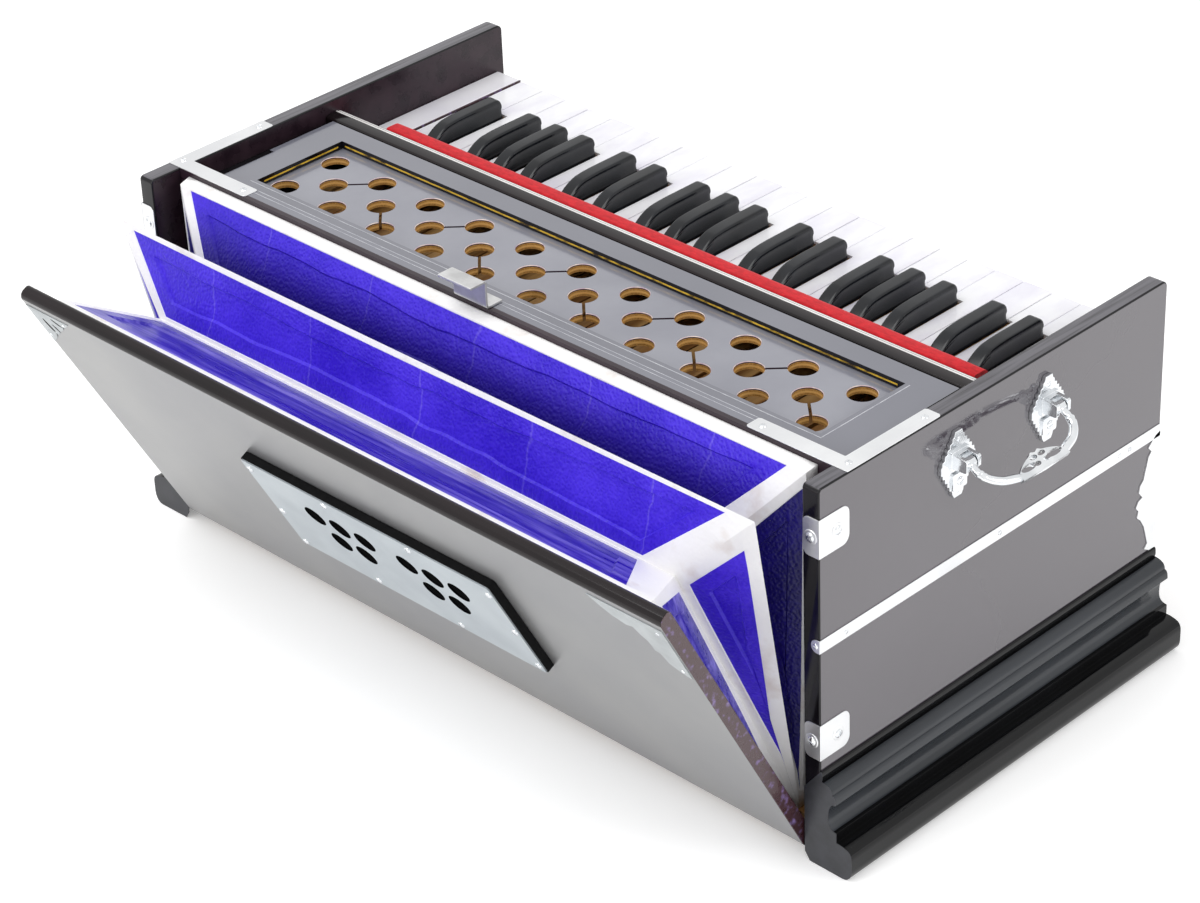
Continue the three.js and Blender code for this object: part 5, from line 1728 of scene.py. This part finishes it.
@dataclass(frozen=True)
class Handles:
    """Drop handles with their crown-edged lugs on both side boards."""

    panel: float = 300.0
    pivot_out: float = 11.0
    pivot_z: float = 232.5
    half_span: float = 42.0
    rest: float = math.radians(60)
    bar: float = 3.2
    drop: float = 25.5
    lug_width: float = 31.0
    lug_height: float = 45.0
    lug_z: float = 228.5
    thick: float = 3.0

    def build(self) -> None:
        """Make both handles."""
        for end in End:
            self.lugs(end)
            self.bail(end)
            self.crescent(end)

    def crown(self) -> list[Point2]:
        """Return the right half of a lug's serrated edge, from the top, in shares of its size."""
        return [(0.10, 0.5), (0.13, 0.43), (0.17, 0.42), (0.18, 0.36), (0.25, 0.345), (0.25, 0.29),
                (0.32, 0.28), (0.32, 0.225), (0.39, 0.215), (0.395, 0.15), (0.46, 0.14), (0.47, 0.08),
                (0.5, 0.07), (0.5, -0.05), (0.45, -0.06), (0.45, -0.12), (0.38, -0.13), (0.38, -0.2),
                (0.31, -0.21), (0.31, -0.28), (0.25, -0.29), (0.24, -0.36), (0.18, -0.37), (0.16, -0.44),
                (0.11, -0.5)]

    def lugs(self, end: End) -> None:
        """Make the two lugs of one handle: crown plate, ears, pivot block and screw boss.

        Args:
            end: the end where they are.
        """
        shape = Shape()
        screws = []
        axis, face = self.pivot_z, self.panel + self.thick
        root, reach = self.panel + 2.8, self.panel + self.pivot_out + 3.6
        raised = end.span(face - 0.3, face + 1.6)
        ear = rounded([(root, axis - 4.8, 0.4), (reach, axis - 4.2, 1.5), (reach, axis + 4.2, 1.5),
                       (root, axis + 5.4, 0.4)], 2)
        for centre in (-self.half_span, self.half_span):
            right = [(centre + w * self.lug_width, self.lug_z + h * self.lug_height) for w, h in self.crown()]
            left = [(2 * centre - y, z) for y, z in reversed(right)]
            shape.prism(right[::-1] + left[::-1], Axis.X, *end.span(self.panel + 0.03, face))
            for half, low, high, corner in ((6.5, -20.5, -9, 1.5), (8, -6.5, 6.5, 1.2)):
                boss = rectangle((centre - half, centre + half), (axis + low, axis + high), corner)
                shape.prism(boss, Axis.X, *raised)
            shape.block(end.span(root, self.panel + 6.5), (centre - 3.7, centre + 3.7),
                        (axis + 3.6, axis + 5.3))
            for y in ((centre - 6.7, centre - 3.75), (centre + 3.75, centre + 6.7)):
                shape.prism(mirrored(ear, end), Axis.Y, *y)
            for out, z, radius in ((face + 1.6, axis - 15, 2.9),
                                   (face - 0.1, self.lug_z + 0.37 * self.lug_height, 2.0),
                                   (face - 0.1, self.lug_z - 0.4 * self.lug_height, 1.8)):
                screws.append(Screw((end * out, centre, z), (end, 0, 0), radius))
        put(shape.piece(end.named("handle_lugs"), [NICKEL], bevel=0.4), "case", "bright_metal",
            end.named("side_panel"))
        put(drive_screws(end.named("lug_screws"), screws, NICKEL, 11 + end), "case", "bright_metal")

    def place(self, end: End) -> Matrix:
        """Return a hanging handle's matrix to the frame's metres."""
        pivot = Matrix.Translation((end * (self.panel + self.pivot_out), 0, self.pivot_z))
        return CASE @ pivot @ Matrix.Rotation(-end * self.rest, 4, "Y")

    def route(self) -> list[Vector]:
        """Lay out the bail's middle line.

        Returns:
            Its points from one pivot to the other.
        """
        arm = [(self.half_span, 0.0), (self.half_span + 0.6, -5.0), (self.half_span + 0.2, -9.6),
               (self.half_span - 2.2, -14.6), (self.half_span - 8.0, -19.4), (self.half_span - 14.5, -22.0),
               (0.39 * self.half_span, -24.6), (0.1 * self.half_span, -self.drop)]
        points = [Vector((0, y, z)) for y, z in arm] + [Vector((0, -y, z)) for y, z in reversed(arm)]
        smooth, steps = [], 6
        for i in range(len(points) - 1):
            before, after = points[max(i - 1, 0)], points[min(i + 2, len(points) - 1)]
            for k in range(steps):
                t = k / steps
                a, b, c, d = before, points[i], points[i + 1], after
                smooth.append(0.5 * (2 * b + (c - a) * t + (2 * a - 5 * b + 4 * c - d) * t * t
                                     + (3 * b - a - 3 * c + d) * t ** 3))
        return smooth + [points[-1]]

    def bail(self, end: End) -> None:
        """Make the bail's bar, with collars on its arms and slimmer behind the grip, and its pivots.

        Args:
            end: the end where it hangs.
        """
        route = self.route()
        shape, sides = Shape(), 20
        turns = [2 * math.pi * k / sides for k in range(sides)]
        rings = []
        lengths = [0.0]
        for a, b in zip(route, route[1:]):
            lengths.append(lengths[-1] + (b - a).length)
        for i, point in enumerate(route):
            tangent = (route[min(i + 1, len(route) - 1)] - route[max(i - 1, 0)]).normalized()
            across = Vector((1, 0, 0)).cross(tangent)
            along = min(lengths[i], lengths[-1] - lengths[i])
            slim = min(1.0, max(0.0, (23.0 - abs(point.y)) / 8.0))
            collar = sum(high * math.exp(-((along - at) / wide) ** 2)
                         for high, at, wide in ((0.5, 9.5, 1.0), (0.4, 12.6, 0.8)))
            radius = self.bar - 0.9 + 0.6 * min(1.0, along / 18) + collar - 1.3 * slim
            middle = point - Vector((0, 0, 1.2 * slim))
            rings.append([middle + radius * (Vector((0.86, 0, 0)) * math.cos(t) + across * math.sin(t))
                          for t in turns])
        shape.loft(rings)
        for y in (-self.half_span, self.half_span):
            for radius, half, broken, steps in ((3.7, 3.3, (0.5, 0.6), 8), (1.95, 6.65, (0.25, 0.35), 16)):
                inner, short = radius - broken[0], half - broken[1]
                pin = [(0, y - half), (inner, y - half), (radius, y - short), (radius, y + short),
                       (inner, y + half), (0, y + half)]
                shape.lathe(pin, Axis.Y, (0, 0), steps)
        thing = shape.piece(end.named("bail"), [NICKEL], self.place(end))
        put(thing, end.named("handle"), "bright_metal", end.named("handle"))

    def crescent(self, end: End) -> None:
        """Make the grip in the middle of a bail, pierced with six leaves.

        Args:
            end: the end where it hangs.
        """
        half, deep, low, rim = 21.5, 11.8, -self.drop - 2.4, 4.2
        steps = 40
        upper, lower = [], []
        for i in range(steps + 1):
            y = -half + 2 * half * i / steps
            lift = math.cos(math.pi / 2 * y / half)
            peak = sum(1.3 * math.exp(-((y - bump) / 1.7) ** 2) for bump in (-3.2, 3.2))
            lower.append((y, low + 0.3 * (1 - lift)))
            upper.append((y, low + rim + (deep - rim) * lift ** 0.8 + peak))
        shape = Shape().prism(lower + upper[::-1], Axis.X, -1.9, 1.9)
        leaves = ((12.2, 5.6, 6.6, 2.1, -0.26), (4.3, 9.4, 3.1, 1.5, -0.3), (3.4, 4.9, 2.6, 1.5, 0.35))
        cuts = [Cut((0, hand * y, low + z), (tall, length, 20.0), (hand * lean, math.pi / 2, 0.0))
                for y, z, length, tall, lean in leaves for hand in (-1, 1)]
        thing = shape.piece(end.named("grip"), [NICKEL], self.place(end), bevel=0.5, cuts=cuts)
        put(thing, end.named("handle"), "bright_metal", end.named("handle"))


@dataclass(frozen=True)
class Trim:
    """Straps, clips and corner plates of bright sheet on the case."""

    case: Case = Case()
    sheet: float = 0.7
    strap_z: Point2 = (154.0, 163.0)
    clip_z: tuple[Point2, ...] = ((219.0, 245.0), (78.0, 103.0))
    clip_front: float = 136.0
    ragged: tuple[Point2, ...] = (
        (-156.2, 156.5), (-153.0, 153.5), (-149.2, 150.0), (-152.6, 146.2), (-149.7, 142.9), (-148.5, 137.9),
        (-147.0, 133.1), (-145.8, 128.1), (-142.6, 125.1), (-141.4, 120.1), (-145.4, 115.4), (-141.3, 114.0),
        (-138.9, 110.0), (-141.8, 106.4), (-140.6, 102.0), (-144.4, 98.4), (-148.3, 92.0), (-150.4, 85.4),
        (-152.8, 77.3), (-149.9, 74.2), (-155.0, 71.0))

    def build(self) -> None:
        """Make all the trim of both ends."""
        screws: list[Screw] = []
        for end in End:
            self.strap(end, screws)
            self.clips(end, screws)
            self.front_corner(end)
            self.top_plate(end, screws)
        put(drive_screws("trim_screws", screws, NICKEL, 3), "case", "bright_metal")

    def on_board(self, end: End) -> Point2:
        """Return the range of X that a sheet takes on the outside of a side board."""
        return end.span(self.case.panel_outer + 0.02, self.case.panel_outer + self.sheet)

    def lip(self, shape: Shape, end: End, reach: Point2, z: Point2, corner: float) -> None:
        """Add a sheet's return on the rear edge of a side board.

        Args:
            shape: the sheet.
            end: the end where it is.
            reach: its outer and its inner edge, from the middle of the instrument.
            z: its foot and its top.
            corner: radius of its inner corners.
        """
        (outer, inner), (low, high) = reach, z
        lip = rounded([(outer, low, 0.0), (outer, high, 0.0), (inner, high, corner), (inner, low, corner)])
        shape.prism(mirrored(lip, end), Axis.Y, self.case.rear + 0.02, self.case.rear + self.sheet)

    def strap(self, end: End, screws: list[Screw]) -> None:
        """Make the steel strap across one side board.

        Args:
            end: the end where it is.
            screws: list that its screws are added to.
        """
        c, t = self.case, self.sheet
        out, middle = c.panel_outer + t, sum(self.strap_z) / 2
        shape = Shape().block(self.on_board(end), (c.front + 0.4, c.rear), self.strap_z)
        self.lip(shape, end, (out, 294.0), self.strap_z, 4.2)
        put(shape.piece(end.named("strap"), [TINPLATE], bevel=0.25), "case", "bright_metal")
        screws.append(Screw((end * 297.4, c.rear + t, middle), (0, 1, 0), 2.0))
        for y in (139.0, -1.4, -119.1, -129.3):
            screws.append(Screw((end * out, y, middle), (end, 0, 0), 1.7))

    def washer(self, radius: float, at: float, way: int) -> list[Point2]:
        """Return a cup washer's profile, from the sheet that it sits on and the way it faces."""
        return [(0, at - way * 0.1), (radius, at - way * 0.1), (radius, at + way * 0.3),
                (radius - 0.7, at + way * 0.55), (0, at + way * 0.55)]

    def clips(self, end: End, screws: list[Screw]) -> None:
        """Make the angle clips over the rear edge of one side board.

        Args:
            end: the end where they are.
            screws: list that their screws are added to.
        """
        out, back = self.case.panel_outer + self.sheet, self.case.rear + self.sheet
        side_y, rear_x = 146.5, 294.3
        for number, (low, high) in enumerate(self.clip_z, 1):
            middle = (low + high) / 2
            face = rounded([(self.clip_front, low, 6.0), (back, low, 0.0), (back, high, 0.0),
                            (self.clip_front, high, 6.0)])
            shape = Shape().prism(face, Axis.X, *self.on_board(end))
            self.lip(shape, end, (out - 0.01, 288.3), (low, high), 4.5)
            shape.lathe(self.washer(4.6, end * out, end), Axis.X, (side_y, middle), 24)
            shape.lathe(self.washer(4.8, back, 1), Axis.Y, (end * rear_x, middle), 24)
            put(shape.piece(f"{end.named('clip')}_{number}", [TINPLATE], bevel=0.25), "case", "bright_metal")
            screws.append(Screw((end * (out + 0.4), side_y, middle), (end, 0, 0), 3.1))
            screws.append(Screw((end * rear_x, back + 0.4, middle), (0, 1, 0), 3.3))

    def front_corner(self, end: End) -> None:
        """Make the thin bracket with a ragged inner edge at the front of one side board.

        Args:
            end: the end where it is.
        """
        front = -161.1
        outline = [(front, 158.0), *self.ragged, (front, 70.9)]
        shape = Shape().prism(outline, Axis.X, *self.on_board(end))
        put(shape.piece(end.named("front_corner"), [TINPLATE]), "case", "bright_metal")

    def top_plate(self, end: End, screws: list[Screw]) -> None:
        """Make the angled plate over one rear corner of the case's top.

        Args:
            end: the end where it is.
            screws: list that its screws are added to.
        """
        low, high = self.case.top + 0.02, self.case.top + 0.62
        outline = rounded([(299.6, 54.0, 2.0), (299.6, 136.8, 1.0), (222.0, 136.8, 2.0), (222.0, 124.6, 2.0),
                           (287.7, 124.6, 0.8), (287.7, 54.0, 2.0)])
        shape = Shape().prism(mirrored(outline, end), Axis.Z, low, high)
        put(shape.piece(end.named("top_plate"), [TINPLATE], bevel=0.15), "case", "bright_metal")
        for x, y in ((293.6, 62.0), (293.6, 128.5), (230.0, 130.6)):
            screws.append(Screw((end * x, y, high), (0, 0, 1), 2.4))


def dress_wind_chest() -> None:
    """Give the hidden boards, which keep their CAD shape, their timber."""
    for name in ("reed_board", "reservoir_board"):
        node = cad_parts[name]
        for place in node.material_slots:
            place.material = BARE_WOOD.material()
        LOG.info("%s keeps its CAD mesh", name)


# Studio

def seen_rays(tree: Tree) -> Node:
    """Return a node that is 1 for rays of the camera, of gloss and through glass.

    Args:
        tree: tree of the world or of a material.

    Returns:
        The node.
    """
    path = add_node(tree, "ShaderNodeLightPath")
    seen = path.outputs["Is Camera Ray"]
    for other in ("Is Glossy Ray", "Is Transmission Ray"):
        seen = add_node(tree, "ShaderNodeMath", {"operation": "MAXIMUM"}, {0: seen, 1: path.outputs[other]})
    return seen


@dataclass(frozen=True)
class Lamp:
    """A soft square lamp that looks at the instrument."""

    name: str
    at: Point3
    size: float
    power: float


@dataclass(frozen=True)
class Studio:
    """Camera at the photograph's view, pale floor and soft light."""

    at: Point3 = (-1.40555, 1.3468, 1.3052)
    yaw: float = 2.3418
    pitch: float = -0.5462
    roll: float = -0.0442
    lens: float = 105.2
    ambient: float = 0.72
    aim: Point3 = (0.0, 0.0, 0.14)
    lamps: tuple[Lamp, ...] = (
        Lamp("Overhead softbox", (0.5, 0.9, 2.6), 1.5, 22.5),
        Lamp("Side softbox", (-2.6, -0.7, 1.5), 1.2, 19.0),
        Lamp("Rear softbox", (0.4, 3.0, 1.3), 1.3, 23.0),
    )

    def build(self) -> None:
        """Set the stage."""
        self.camera()
        self.world()
        self.floor()
        for lamp in self.lamps:
            data = bpy.data.lights.new(lamp.name, "AREA")
            data.size, data.energy = lamp.size, lamp.power
            thing = in_scene(lamp.name, data)
            thing.location = lamp.at
            way = Vector(self.aim) - Vector(lamp.at)
            thing.rotation_euler = way.to_track_quat("-Z", "Y").to_euler()
        bpy.context.scene.view_settings.view_transform = "Standard"

    def camera(self) -> None:
        """Place the camera that was fitted to the case's straight edges."""
        forward = Vector((math.sin(self.yaw) * math.cos(self.pitch), math.cos(self.yaw) * math.cos(self.pitch),
                          math.sin(self.pitch)))
        level = Vector((math.cos(self.yaw), -math.sin(self.yaw), 0))
        upright = level.cross(forward)
        right = level * math.cos(self.roll) + upright * math.sin(self.roll)
        up = upright * math.cos(self.roll) - level * math.sin(self.roll)
        data = bpy.data.cameras.new("Photograph")
        data.sensor_width, data.lens, data.sensor_fit = 36.0, self.lens, "HORIZONTAL"
        thing = in_scene("Photograph", data)
        turn = Matrix((right, up, -forward)).transposed().to_4x4()
        thing.matrix_world = Matrix.Translation(self.at) @ turn
        bpy.context.scene.camera = thing

    def world(self) -> None:
        """Light evenly, and show white to the camera, to gloss and through glass."""
        world = bpy.data.worlds.new("Studio")
        world.use_nodes = True
        bpy.context.scene.world = world
        tree = world.node_tree
        tree.nodes.clear()
        seen = seen_rays(tree)
        dim = add_node(tree, "ShaderNodeBackground", {"Color": linear("#ffffff"), "Strength": self.ambient})
        white = add_node(tree, "ShaderNodeBackground", {"Color": linear("#ffffff"), "Strength": 1.0})
        mixed = add_node(tree, "ShaderNodeMixShader", None, {0: seen, 1: dim, 2: white})
        add_node(tree, "ShaderNodeOutputWorld", None, {"Surface": mixed})

    def floor(self) -> None:
        """Lay a pale floor that shows white to the camera and to gloss, and keeps the shadow."""
        size = 12.0
        data = bpy.data.meshes.new("floor")
        corners = [(-size, -size, 0), (size, -size, 0), (size, size, 0), (-size, size, 0)]
        data.from_pydata(corners, [], [(0, 1, 2, 3)])
        material = bpy.data.materials.new("Studio paper, white")
        material.use_nodes = True
        tree = material.node_tree
        shader = tree.nodes["Principled BSDF"]
        shader.inputs["Roughness"].default_value = 0.9
        shader.inputs["Specular IOR Level"].default_value = 0.1
        shader.inputs["Emission Color"].default_value = linear("#ffffff")
        seen = seen_rays(tree)
        colour = add_node(tree, "ShaderNodeMix", {"data_type": "RGBA", 6: linear("#f2f2f2"),
                                                   7: linear("#ffffff")}, {0: seen})
        tree.links.new(colour.outputs[2], shader.inputs["Base Color"])
        glow = add_node(tree, "ShaderNodeMath", {"operation": "MULTIPLY", 1: 0.28}, {0: seen})
        tree.links.new(glow.outputs[0], shader.inputs["Emission Strength"])
        data.materials.append(material)
        thing = in_scene("floor", data)


def main() -> None:
    """Build the instrument's looks in order."""
    logging.basicConfig(level=logging.INFO, format="%(message)s")
    for part in (Studio(), Case(), TopCover(), Keyboard(), Stops(), Bellows(), Handles(), Trim()):
        part.build()
        LOG.info("%s done", type(part).__name__)
    dress_wind_chest()


if __name__ == "__main__":
    main()
